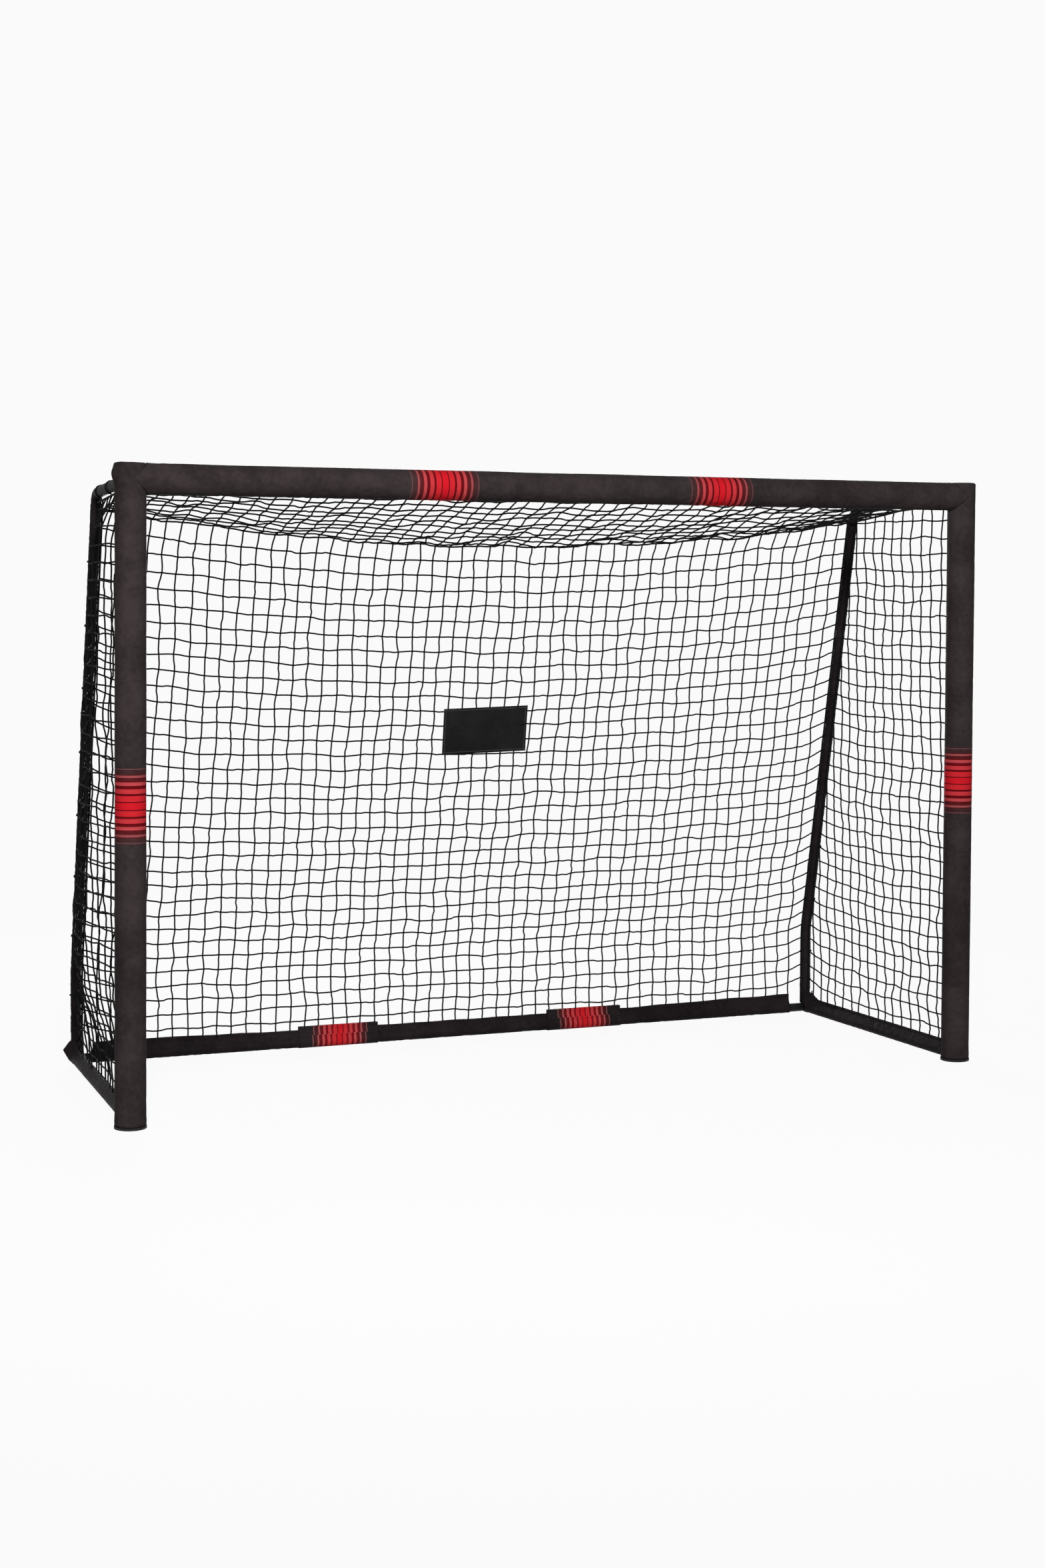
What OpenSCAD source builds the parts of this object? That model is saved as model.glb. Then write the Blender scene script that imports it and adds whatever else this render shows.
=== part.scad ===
// Garden football goal with padded posts and crossbar, a push-fit steel frame and a hung net.
// X runs across the mouth, +Y to the back of the goal, +Z up. Millimetres.

/* [Goal] */
// Overall width, over the foot caps
goal_w = 2400; // [1800:10:3000]
// Overall height, to the top of the crossbar cover
goal_h = 1600; // [1200:10:2000]
// Overall depth, from the foot caps to the printed wraps on the rear rail
goal_d = 850; // [700:10:1100]

/* [Stays] */
// Length of the top arm from the crossbar axis to the bend of the stay
arm_l = 528; // [400:1:600]
// Drop of the top arm over its length
arm_drop = 18; // [5:1:40]
// How far each stay stands inside its post
toe_in = 31; // [10:1:60]
// Height of the kink above which the stay leans forward
kink_z = 256; // [200:1:320]
// Centreline radius of the bend between top arm and stay
bend_r = 45; // [35:1:60]
// Centreline radius of the kink
kink_r = 40; // [30:1:60]

/* [Tubes] */
// Outer diameter of the post and crossbar tubes
post_tube_d = 32; // [28:0.5:34]
// Outer diameter of the stay and ground rail tubes
rail_tube_d = 25; // [22:0.5:26]
// Wall of every tube
tube_wall = 1.2; // [1:0.1:1.6]
// Length of each spigot inside the next tube
spigot_l = 60; // [50:1:80]
// Radial clearance of a spigot in its tube
spigot_gap = 0.3; // [0.2:0.05:0.5]
// Length of the top corner's stubs, from its centre to the shoulder
top_stub = 62; // [50:1:80]
// Height of the foot elbow's shoulder above the floor
foot_shoulder = 60; // [50:1:90]
// Length of the foot elbow's rear stub, from the post axis to its shoulder
foot_stub = 62; // [50:1:90]
// Length of the rear corner's stubs, from its centre to the shoulders
rear_stub = 60; // [50:1:90]
// How much larger than its tubes a corner's welded knuckle is
knuckle_extra = 2; // [1:0.5:4]

/* [Padding] */
// Diameter of the post and crossbar padding with its cover
pad_d = 76; // [66:1:90]
// Thickness of the padding's cover
pad_cover_t = 1; // [0.8:0.1:1.5]
// Gap between a soft piece and what it goes round
cloth_gap = 0.3; // [0.2:0.05:0.5]
// Distance from the padding to the end of a stay's sleeve
sleeve_gap = 1.3; // [1.2:0.1:3]
// Height of the foot cap's flange
cap_h = 6; // [4:0.5:10]
// How far the foot cap's flange stands out past the padding
cap_lip = 1.5; // [0.5:0.5:3]
// Height of the plug that holds the foot cap in the foot elbow
cap_plug_h = 24; // [16:1:40]
// Width of the hook-and-loop tape that holds the net
tape_w = 25; // [15:1:35]
// Thickness of the tape
tape_t = 2; // [1:0.5:3]
// Distance from each tape's end to the nearest corner axis
tape_end = 62; // [50:1:90]

/* [Rail covers] */
// Height of the ground rail covers above the floor
cover_h = 48; // [42:1:56]
// Wall of the covers beside the tube
cover_t = 1.7; // [1.2:0.1:2.2]
// Half thickness of a cover at its folded top edge
cover_top_r = 3; // [2.5:0.5:4]
// How much larger in radius a side rail cover's boot at the rear corner is than the cover
boot_extra = 1; // [0.5:0.5:3]
// Height of the boot above the floor
boot_h = 56; // [50:1:70]
// Wall of the sleeves round the stays
stay_sleeve_t = 1.3; // [1:0.1:2]
// Distance from the stay axis to the end of the rear rail's cover
cover_end = 46; // [38:1:56]
// Width of each printed wrap on the rear rail
wrap_w = 235; // [160:5:280]
// Height of the printed wraps above the floor
wrap_h = 62; // [56:1:70]
// Thickness of the printed wraps
wrap_t = 1.6; // [1:0.1:2.5]
// Distance from the middle of the goal to the middle of each wrap
wrap_x = 381; // [320:1:450]
// Depth of the flat on which the wraps stand
floor_flat = 0.5; // [0.3:0.1:0.8]

/* [Net] */
// Thickness of the net's cords
net_cord = 3; // [2:0.5:4]
// Gaps across the back and the roof
net_gaps_x = 14; // [10:1:16]
// Gaps up the back and the sides
net_gaps_z = 8; // [6:1:9]
// Gaps along the roof
net_gaps_roof = 3; // [2:1:4]
// Gaps along each side
net_gaps_y = 5; // [3:1:5]
// How far the free ridge hangs below the bends at mid width
ridge_sag = 125; // [60:5:180]
// How far the roof hangs below a straight line at its middle
roof_belly = 22; // [0:1:40]
// Width of the label patch
label_w = 235; // [150:5:300]
// Height of the label patch
label_h = 125; // [80:5:160]
// Thickness of the label patch
label_t = 1.6; // [1:0.2:3]
// Height of the label's middle above the floor
label_z = 900; // [700:10:1000]

/* [Snap buttons] */
// Diameter of a button's pin
pin_d = 6; // [5:0.5:7]
// How far a button stands out of its tube
pin_out = 2.5; // [2:0.1:3]
// Clearance round the pin in the tube's hole
pin_gap = 0.2; // [0.1:0.05:0.3]
// Diameter of the collar inside the tube
collar_d = 9; // [8:0.2:10]
// Thickness of the collar
collar_t = 1; // [0.8:0.1:1.5]
// Width of the leaf spring
spring_w = 6; // [4:0.5:7]
// Thickness of the leaf spring
spring_t = 0.8; // [0.6:0.1:1]
// Length of each leg of the leaf spring
spring_l = 34; // [26:1:40]

/* [Hidden] */
left = -1;
right = 1;
$fn = 96;
sweep_sides = 24;
bend_steps = 8;
kink_steps = 4;
over = 1;

frame_colour = [0.10, 0.10, 0.11];
plastic_colour = [0.07, 0.07, 0.07];
foam_colour = [0.45, 0.45, 0.46];
cover_colour = [0.15, 0.13, 0.13];
print_colour = [0.78, 0.08, 0.10];
net_colour = [0.05, 0.05, 0.05];
tape_colour = [0.09, 0.09, 0.09];
spring_colour = [0.70, 0.71, 0.73];

// Radii
pad_r = pad_d / 2;
cap_r = pad_r + cap_lip;
post_r = post_tube_d / 2;
rail_r = rail_tube_d / 2;
post_bore_r = post_r - tube_wall;
rail_bore_r = rail_r - tube_wall;
post_spigot_r = post_bore_r - spigot_gap;
rail_spigot_r = rail_bore_r - spigot_gap;
post_spigot_bore_r = post_spigot_r - tube_wall;
rail_spigot_bore_r = rail_spigot_r - tube_wall;
foam_r = pad_r - pad_cover_t - cloth_gap;
tape_r = pad_r + cloth_gap + tape_t;
cover_r = rail_r + cloth_gap + cover_t;
boot_r = cover_r + boot_extra;
wrap_r = cover_r + cloth_gap + wrap_t;
stay_sleeve_r = rail_r + cloth_gap + stay_sleeve_t;
top_knuckle_r = post_r + knuckle_extra;
rear_knuckle_r = rail_r + knuckle_extra / 2;

// Axes and levels
post_x = goal_w / 2 - cap_r;
front_y = -goal_d / 2 + cap_r;
bar_z = goal_h - pad_r;
rear_y = goal_d / 2 - wrap_r;
rear_x = post_x - toe_in;
rail_z = wrap_r - floor_flat;
bend_y = front_y + arm_l;
bend_z = bar_z - arm_drop;

// Joints between the frame's tubes
post_bottom = foot_shoulder;
post_top = bar_z - top_stub;
post_joint_z = (post_bottom + post_top) / 2;
bar_end_x = post_x - top_stub;
bar_joint_x = bar_end_x / 3;
rail_end_x = rear_x - rear_stub;
rail_joint_x = rail_end_x / 3;
button_in = spigot_l / 2;

// Where the net's edge cords lie beside what carries them, at the tapes however they are turned
net_clear = boot_r + cloth_gap + net_cord / 2;
net_front_y = front_y + tape_r + cloth_gap + net_cord / sqrt(2);
net_bottom_z = cover_h + cloth_gap + net_cord / 2;
ridge_clear = net_cord + 2 * cloth_gap;

// ---- Points and directions ----

function unit(v) = v / norm(v);
function mix(a, b, t) = a + (b - a) * t;
function corner_p(side) = [side * post_x, front_y, bar_z];
function bend_p(side) = [side * rear_x, bend_y, bend_z];
function kink_p(side) = [side * rear_x, rear_y, kink_z];
function rear_p(side) = [side * rear_x, rear_y, rail_z];
function foot_p(side) = [side * post_x, front_y, rail_z];
function arm_dir(side) = unit(bend_p(side) - corner_p(side));
function side_dir(side) = unit(rear_p(side) - foot_p(side));
function stay_joint_p(side) = mix(bend_p(side), kink_p(side), 0.5);
function post_button_p(side) = [side * post_x, front_y, post_joint_z + button_in];
function crossbar_button_p(side) = [side * (bar_joint_x - button_in), front_y, bar_z];
function rail_button_p(side) = [side * (rail_joint_x - button_in), rear_y, rail_z];
lean_dir = unit([0, bend_y - rear_y, bend_z - kink_z]);
up = [0, 0, 1];
back = [0, 1, 0];

// Points and headings along the fillet of a corner between two straight runs
function fillet(from, corner, to, r, steps) =
    let (
        u = unit(corner - from),
        w = unit(to - corner),
        turn = acos(u * w),
        inward = unit(w - u * (u * w)),
        centre = corner - u * r * tan(turn / 2) + inward * r
    )
    [for (i = [0:steps]) let (t = turn * i / steps)
        [centre + r * (u * sin(t) - inward * cos(t)), u * cos(t) + inward * sin(t)]];

// Rings for a sweep: each is a point, a heading and a radius
function rings(path, r) = [for (p = path) [p[0], p[1], r]];
function ring_points(ring) =
    let (e1 = unit(cross(ring[1], [1, 0, 0])), e2 = cross(ring[1], e1))
    [for (k = [0:sweep_sides - 1]) let (a = 360 * k / sweep_sides)
        ring[0] + ring[2] * (e1 * cos(a) + e2 * sin(a))];
function halves(q) = [[q[0], q[1], q[2]], [q[0], q[2], q[3]]];
function wall(rows, base, inside) = [
    for (i = [0:rows - 2], k = [0:sweep_sides - 1]) let (
        n = (k + 1) % sweep_sides,
        a = base + i * sweep_sides,
        b = a + sweep_sides,
        q = [a + k, b + k, b + n, a + n]
    ) each halves(inside ? [q[3], q[2], q[1], q[0]] : q)
];
function end_face(outer, inner, first) = [
    for (k = [0:sweep_sides - 1]) let (
        n = (k + 1) % sweep_sides,
        q = [outer + k, outer + n, inner + n, inner + k]
    ) each halves(first ? q : [q[3], q[2], q[1], q[0]])
];

// ---- Shared shapes ----

// A round bar between two points
module rod(from, to, r) {
    v = to - from;
    translate(from) rotate([0, acos(v.z / norm(v)), atan2(v.y, v.x)]) cylinder(h = norm(v), r = r);
}

// Places a shape whose Z runs along dir and whose Y points as near up as it can
module along(point, dir, top = up) {
    x = unit(cross(top, dir));
    y = cross(dir, x);
    multmatrix([
        [x.x, y.x, dir.x, point.x],
        [x.y, y.y, dir.y, point.y],
        [x.z, y.z, dir.z, point.z],
        [0, 0, 0, 1]
    ]) children();
}

// A bent tube from its outer and inner rings
module swept_tube(outer, inner) {
    first_inner = len(outer) * sweep_sides;
    last_outer = first_inner - sweep_sides;
    last_inner = first_inner + (len(inner) - 1) * sweep_sides;
    points = [for (r = concat(outer, inner)) each ring_points(r)];
    faces = concat(
        wall(len(outer), 0, false),
        wall(len(inner), first_inner, true),
        end_face(0, first_inner, true),
        end_face(last_outer, last_inner, false)
    );
    polyhedron(points, faces, convexity = 6);
}

// A straight tube along Z with an optional swaged spigot at its far end
module straight_tube(l, r, swaged) {
    bore_r = r - tube_wall;
    spigot_r = bore_r - spigot_gap;
    difference() {
        union() {
            cylinder(h = l, r = r);
            if (swaged) cylinder(h = l + spigot_l, r = spigot_r);
        }
        translate([0, 0, -over]) cylinder(h = l + over - (swaged ? 2 * tube_wall : -over), r = bore_r);
        translate([0, 0, -over]) cylinder(h = l + spigot_l + 2 * over, r = spigot_r - tube_wall);
    }
}

// A stub of tube with a spigot on its end, as a solid along a direction
module stub(point, dir, l, r) {
    spigot_r = r - tube_wall - spigot_gap;
    rod(point, point + dir * l, r);
    rod(point, point + dir * (l + spigot_l), spigot_r);
}

// The bore of such a stub, from a distance off its start
module stub_bore(point, dir, from, l, r) {
    spigot_r = r - tube_wall - spigot_gap;
    rod(point + dir * from, point + dir * (l + spigot_l + over), spigot_r - tube_wall);
}

// The drop-shaped outline of a cloth cover folded round a rail, centred on the rail's axis, with its
// top closed by a small round or left open between upright sides
function drop_outline(low_r, top_r, top, open_top) =
    let (
        d = top - top_r,
        beta = asin((low_r - top_r) / d),
        low = [for (a = [180 - beta, each [180:15:360], 360 + beta]) low_r * [cos(a), sin(a)]],
        closed = [for (a = [beta:(180 - 2 * beta) / 8:181 - beta]) [0, d] + top_r * [cos(a), sin(a)]],
        side_top = (low_r - top_r * cos(beta)) / sin(beta),
        open = [[top_r, side_top], [top_r, top + wrap_h], [-top_r, top + wrap_h], [-top_r, side_top]]
    )
    concat(low, open_top ? open : closed);

module cover_outline() {
    polygon(drop_outline(cover_r, cover_top_r, cover_h - rail_z, false));
}

// The way out of a post's foot for the side rail's stub, from a distance off the post's axis
module stub_slot(side, from) {
    r = rail_r + cloth_gap;
    dir = side_dir(side);
    start = foot_p(side) + dir * from;
    rod(start, start + dir * pad_d, r);
    along(start, dir) translate([-r, -rail_z - over, 0]) cube([2 * r, rail_z + over, pad_d]);
}

// The way out of the padding for a top corner's stub towards its stay
module arm_room(side) {
    p = corner_p(side);
    rod(p, p + arm_dir(side) * pad_d, rail_r + cloth_gap);
}

// Everything that the frame takes up inside a post's padding
module post_core(side) {
    p = corner_p(side);
    r = post_r + cloth_gap;
    rod([p.x, p.y, -over], p, r);
    translate(p) sphere(r = top_knuckle_r + cloth_gap);
    rod(p, p - side * pad_d * [1, 0, 0], r);
    arm_room(side);
    stub_slot(side, 0);
    button_pocket(post_button_p(side), back, post_r);
}

// ---- Frame ----

module post_lower_tube(side) {
    color(frame_colour) difference() {
        translate([side * post_x, front_y, post_bottom])
            straight_tube(post_joint_z - post_bottom, post_r, true);
        button_hole(post_button_p(side), back, post_r);
    }
}

module post_upper_tube(side) {
    color(frame_colour) difference() {
        translate([side * post_x, front_y, post_joint_z])
            straight_tube(post_top - post_joint_z, post_r, false);
        button_hole(post_button_p(side), back, post_r);
    }
}

module crossbar_end_tube(side) {
    color(frame_colour) difference() {
        translate([side * bar_end_x, front_y, bar_z]) rotate([0, -side * 90, 0])
            straight_tube(bar_end_x - bar_joint_x, post_r, true);
        button_hole(crossbar_button_p(side), back, post_r);
    }
}

module crossbar_middle_tube() {
    color(frame_colour) difference() {
        translate([-bar_joint_x, front_y, bar_z]) rotate([0, 90, 0])
            straight_tube(2 * bar_joint_x, post_r, false);
        for (side = [left, right])
            button_hole(crossbar_button_p(side), back, post_r);
    }
}

module top_corner(side) {
    p = corner_p(side);
    inward = [-side, 0, 0];
    color(frame_colour) difference() {
        union() {
            translate(p) sphere(r = top_knuckle_r);
            stub(p, -up, top_stub, post_r);
            stub(p, inward, top_stub, post_r);
            stub(p, arm_dir(side), top_stub, rail_r);
        }
        stub_bore(p, -up, 0, top_stub, post_r);
        stub_bore(p, inward, 0, top_stub, post_r);
        stub_bore(p, arm_dir(side), 0, top_stub, rail_r);
    }
}

module foot_elbow(side) {
    dir = side_dir(side);
    color(frame_colour) difference() {
        union() {
            translate([side * post_x, front_y, cap_h]) cylinder(h = foot_shoulder - cap_h, r = post_r);
            translate([side * post_x, front_y, cap_h])
                cylinder(h = foot_shoulder - cap_h + spigot_l, r = post_spigot_r);
            stub(foot_p(side), dir, foot_stub, rail_r);
        }
        translate([side * post_x, front_y, 0]) cylinder(h = foot_shoulder - 2 * tube_wall, r = post_bore_r);
        translate([side * post_x, front_y, 0])
            cylinder(h = foot_shoulder + spigot_l + over, r = post_spigot_bore_r);
        stub_bore(foot_p(side), dir, 0, foot_stub, rail_r);
    }
}

module foot_cap(side) {
    color(plastic_colour) difference() {
        translate([side * post_x, front_y, 0]) {
            cylinder(h = cap_h, r = cap_r);
            cylinder(h = cap_plug_h, r = post_spigot_r);
        }
        stub_slot(side, post_spigot_r);
    }
}

module stay_upper_tube(side) {
    start = corner_p(side) + arm_dir(side) * top_stub;
    joint = stay_joint_p(side);
    shoulder = joint + lean_dir * 2 * tube_wall;
    tip = joint - lean_dir * spigot_l;
    run = concat([[start, arm_dir(side)]],
        fillet(corner_p(side), bend_p(side), kink_p(side), bend_r, bend_steps));
    outer = concat(rings(run, rail_r),
        [[joint, -lean_dir, rail_r], [joint, -lean_dir, rail_spigot_r], [tip, -lean_dir, rail_spigot_r]]);
    inner = concat(rings(run, rail_bore_r),
        [[shoulder, -lean_dir, rail_bore_r], [shoulder, -lean_dir, rail_spigot_bore_r],
         [tip, -lean_dir, rail_spigot_bore_r]]);
    color(frame_colour) swept_tube(outer, inner);
}

module stay_lower_tube(side) {
    run = concat([[stay_joint_p(side), -lean_dir]],
        fillet(bend_p(side), kink_p(side), rear_p(side), kink_r, kink_steps),
        [[rear_p(side) + up * rear_stub, -up]]);
    color(frame_colour) swept_tube(rings(run, rail_r), rings(run, rail_bore_r));
}

module rear_corner(side) {
    p = rear_p(side);
    inward = [-side, 0, 0];
    color(frame_colour) difference() {
        union() {
            translate(p) sphere(r = rear_knuckle_r);
            stub(p, up, rear_stub, rail_r);
            stub(p, inward, rear_stub, rail_r);
            stub(p, -side_dir(side), rear_stub, rail_r);
        }
        stub_bore(p, up, rail_r, rear_stub, rail_r);
        stub_bore(p, inward, rail_r, rear_stub, rail_r);
        stub_bore(p, -side_dir(side), rail_r, rear_stub, rail_r);
    }
}

module side_rail_tube(side) {
    dir = side_dir(side);
    start = foot_p(side) + dir * foot_stub;
    l = norm(rear_p(side) - foot_p(side)) - foot_stub - rear_stub;
    color(frame_colour) along(start, dir) straight_tube(l, rail_r, false);
}

module rear_rail_end_tube(side) {
    color(frame_colour) difference() {
        translate([side * rail_end_x, rear_y, rail_z]) rotate([0, -side * 90, 0])
            straight_tube(rail_end_x - rail_joint_x, rail_r, true);
        button_hole(rail_button_p(side), up, rail_r);
    }
}

module rear_rail_middle_tube() {
    color(frame_colour) difference() {
        translate([-rail_joint_x, rear_y, rail_z]) rotate([0, 90, 0])
            straight_tube(2 * rail_joint_x, rail_r, false);
        for (side = [left, right])
            button_hole(rail_button_p(side), up, rail_r);
    }
}

// ---- Snap buttons: Z along the tube, X out of the button ----

module button_frame(point, dir, axis) {
    y = cross(axis, dir);
    multmatrix([
        [dir.x, y.x, axis.x, point.x],
        [dir.y, y.y, axis.y, point.y],
        [dir.z, y.z, axis.z, point.z],
        [0, 0, 0, 1]
    ]) children();
}

module button_hole(point, dir, tube_r) {
    rod(point, point + dir * (tube_r + over), pin_d / 2 + pin_gap);
}

module button_pocket(point, dir, tube_r) {
    rod(point, point + dir * (tube_r + pin_out + over), pin_d / 2 + over);
}

// Inner radius of the spigot at the height where the collar's rim meets it
function collar_x(tube_r) =
    let (bore = tube_r - 2 * tube_wall - spigot_gap)
    sqrt(bore * bore - collar_d * collar_d / 4) - pin_gap;

module button(point, dir, axis, tube_r) {
    seat = collar_x(tube_r);
    color(spring_colour) button_frame(point, dir, axis) rotate([0, 90, 0]) {
        translate([0, 0, seat - collar_t]) cylinder(h = collar_t, r = collar_d / 2);
        translate([0, 0, seat - collar_t]) cylinder(h = tube_r + pin_out - seat, r = pin_d / 2);
        translate([0, 0, tube_r + pin_out - collar_t])
            cylinder(h = collar_t, r1 = pin_d / 2, r2 = pin_d / 2 - collar_t / 2);
    }
}

module button_spring(point, dir, axis, tube_r) {
    near = collar_x(tube_r) - collar_t - pin_gap / 2;
    bore = tube_r - 2 * tube_wall - spigot_gap;
    far = -sqrt(bore * bore - spring_w * spring_w / 4) + pin_gap;
    color(spring_colour) button_frame(point, dir, axis)
        translate([0, spring_w / 2, 0]) rotate([90, 0, 0]) linear_extrude(spring_w) polygon([
            [near, collar_d / 2], [near, 0], [spring_t, -spring_l], [-spring_t, -spring_l],
            [far, 0], [far, collar_d / 2], [far + spring_t, collar_d / 2], [far + spring_t, 0],
            [0, -spring_l + 2 * spring_t], [near - spring_t, 0], [near - spring_t, collar_d / 2]
        ]);
}

module post_button(side) {
    button(post_button_p(side), back, up, post_r);
}

module post_spring(side) {
    button_spring(post_button_p(side), back, up, post_r);
}

module crossbar_button(side) {
    button(crossbar_button_p(side), back, [-side, 0, 0], post_r);
}

module crossbar_spring(side) {
    button_spring(crossbar_button_p(side), back, [-side, 0, 0], post_r);
}

module rear_rail_button(side) {
    button(rail_button_p(side), up, [-side, 0, 0], rail_r);
}

module rear_rail_spring(side) {
    button_spring(rail_button_p(side), up, [-side, 0, 0], rail_r);
}

// ---- Padding and covers ----

module post_foam(side) {
    top = goal_h - pad_cover_t - cloth_gap;
    color(foam_colour) difference() {
        translate([side * post_x, front_y, cap_h]) cylinder(h = top - cap_h, r = foam_r);
        post_core(side);
    }
}

module post_cover(side) {
    color(cover_colour) difference() {
        translate([side * post_x, front_y, cap_h]) cylinder(h = goal_h - cap_h, r = pad_r);
        translate([side * post_x, front_y, 0]) cylinder(h = goal_h - pad_cover_t, r = pad_r - pad_cover_t);
        post_core(side);
    }
}

// The length of the crossbar between the two post covers, at a radius
module crossbar_round(r) {
    translate([-post_x, front_y, bar_z]) rotate([0, 90, 0]) cylinder(h = 2 * post_x, r = r);
}

module post_covers_room() {
    for (side = [left, right])
        translate([side * post_x, front_y, bar_z - pad_d])
            cylinder(h = 2 * pad_d, r = pad_r + cloth_gap);
}

module crossbar_foam() {
    color(foam_colour) difference() {
        crossbar_round(foam_r);
        post_covers_room();
        crossbar_round(post_r + cloth_gap);
        for (side = [left, right]) {
            arm_room(side);
            button_pocket(crossbar_button_p(side), back, post_r);
        }
    }
}

module crossbar_cover() {
    color(cover_colour) difference() {
        crossbar_round(pad_r);
        post_covers_room();
        crossbar_round(pad_r - pad_cover_t);
        for (side = [left, right])
            arm_room(side);
    }
}

// A strip of tape curved round the back of a pad, along Z
module curved_tape(l) {
    sweep = 2 * asin(tape_w / 2 / tape_r);
    rotate(90 - sweep / 2) rotate_extrude(angle = sweep)
        translate([pad_r + cloth_gap, 0]) square([tape_t, l]);
}

module post_tape(side) {
    color(tape_colour) translate([side * post_x, front_y, tape_end])
        curved_tape(bar_z - 2 * tape_end);
}

module crossbar_tape() {
    l = 2 * (post_x - tape_end);
    color(tape_colour) translate([-l / 2, front_y, bar_z])
        rotate([90, 0, 90]) rotate(-90) curved_tape(l);
}

module stay_sleeve(side) {
    start = corner_p(side) + arm_dir(side) * (pad_r + sleeve_gap);
    run = concat([[start, arm_dir(side)]],
        fillet(corner_p(side), bend_p(side), kink_p(side), bend_r, bend_steps),
        fillet(bend_p(side), kink_p(side), rear_p(side), kink_r, kink_steps),
        [[[side * rear_x, rear_y, boot_h + cloth_gap], -up]]);
    color(cover_colour) swept_tube(rings(run, stay_sleeve_r), rings(run, stay_sleeve_r - stay_sleeve_t));
}

module side_rail_cover(side) {
    dir = side_dir(side);
    bore_r = rail_r + cloth_gap;
    p = rear_p(side);
    color(cover_colour) difference() {
        union() {
            along(foot_p(side), dir) linear_extrude(norm(p - foot_p(side))) cover_outline();
            translate([p.x, p.y, rail_z - cover_r]) cylinder(h = boot_h - rail_z + cover_r, r = boot_r);
        }
        translate([side * post_x, front_y, -over]) cylinder(h = 2 * cover_h, r = pad_r + cloth_gap);
        rod(foot_p(side), p, bore_r);
        translate(p) sphere(r = rear_knuckle_r + cloth_gap);
        rod(p, p + up * boot_h, bore_r);
        rod(p, p - side * [2 * boot_r, 0, 0], bore_r);
    }
}

module rear_rail_cover() {
    end_x = rear_x - cover_end;
    color(cover_colour) difference() {
        along([-end_x, rear_y, rail_z], [1, 0, 0]) linear_extrude(2 * end_x) cover_outline();
        rod([-rear_x, rear_y, rail_z], [rear_x, rear_y, rail_z], rail_r + cloth_gap);
        for (side = [left, right])
            button_pocket(rail_button_p(side), up, rail_r);
    }
}

// A printed wrap passes under the rail and stands up on both sides of the cover and the net
module rear_wrap(side) {
    top = wrap_h - rail_z;
    inner_top_r = cover_top_r + cloth_gap;
    color(print_colour) along([side * wrap_x - wrap_w / 2, rear_y, rail_z], [1, 0, 0])
        linear_extrude(wrap_w) difference() {
            polygon([for (p = drop_outline(wrap_r, inner_top_r + wrap_t, top, false)) [p.x, max(p.y, -rail_z)]]);
            polygon(drop_outline(wrap_r - wrap_t, inner_top_r, cover_h - rail_z, true));
        }
}

// ---- Net ----

// A sheet of net: flat cords between square gaps, laid on sheet(u, v) with u and v from 0 to 1
module net_sheet(gaps_u, gaps_v, sheet) {
    half_u = net_cord / 2 / norm(sheet(1, 0.5) - sheet(0, 0.5));
    half_v = net_cord / 2 / norm(sheet(0.5, 1) - sheet(0.5, 0));
    us = [for (i = [0:gaps_u]) each [i / gaps_u - half_u, i / gaps_u + half_u]];
    vs = [for (i = [0:gaps_v]) each [i / gaps_v - half_v, i / gaps_v + half_v]];
    step = 0.001;
    normal = function (u, v) unit(cross(
        sheet(u + step, v) - sheet(u - step, v), sheet(u, v + step) - sheet(u, v - step)));
    top = [for (u = us, v = vs) sheet(u, v) + normal(u, v) * net_cord / 2];
    bottom = [for (u = us, v = vs) sheet(u, v) - normal(u, v) * net_cord / 2];
    under = len(top);
    rows = len(us);
    cols = len(vs);
    at = function (a, b) a * cols + b;
    cord = function (a, b) a >= 0 && a < rows - 1 && b >= 0 && b < cols - 1 && !(a % 2 == 1 && b % 2 == 1);
    edge = function (p, q) halves([p, q, q + under, p + under]);
    faces = [
        for (a = [0:rows - 2], b = [0:cols - 2]) if (cord(a, b)) let (
            p = at(a, b),
            q = at(a + 1, b),
            r = at(a + 1, b + 1),
            s = at(a, b + 1)
        ) each concat(
            halves([p, s, r, q]),
            halves([p + under, q + under, r + under, s + under]),
            cord(a, b - 1) ? [] : edge(p, q),
            cord(a + 1, b) ? [] : edge(q, r),
            cord(a, b + 1) ? [] : edge(r, s),
            cord(a - 1, b) ? [] : edge(s, p)
        )
    ];
    color(net_colour) polyhedron(concat(top, bottom), faces, convexity = 10);
}

// Height and depth of the back net's plane at a length up from its lower edge
upright_l = kink_z - net_bottom_z;
back_l = upright_l + norm([bend_y - rear_y, bend_z - kink_z]) - ridge_clear;
function back_point(l) = l < upright_l
    ? [0, rear_y, net_bottom_z + l]
    : [0, rear_y, kink_z] + lean_dir * (l - upright_l);
function arch(u) = 4 * u * (1 - u);
back_half = rear_x - net_clear;
back_sheet = function (u, v)
    back_point(v * (back_l - ridge_sag * arch(u))) + [(2 * u - 1) * back_half, 0, 0];

roof_front_half = post_x - toe_in * (net_front_y - front_y) / arm_l - net_clear;
roof_sheet = function (u, v)
    let (
        front = [(2 * u - 1) * roof_front_half, net_front_y, bar_z],
        ridge = back_point(back_l - ridge_sag * arch(u)) + [(2 * u - 1) * back_half, -ridge_clear, 0]
    )
    mix(front, ridge, v) - [0, 0, roof_belly * arch(u) * arch(v)];

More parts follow.
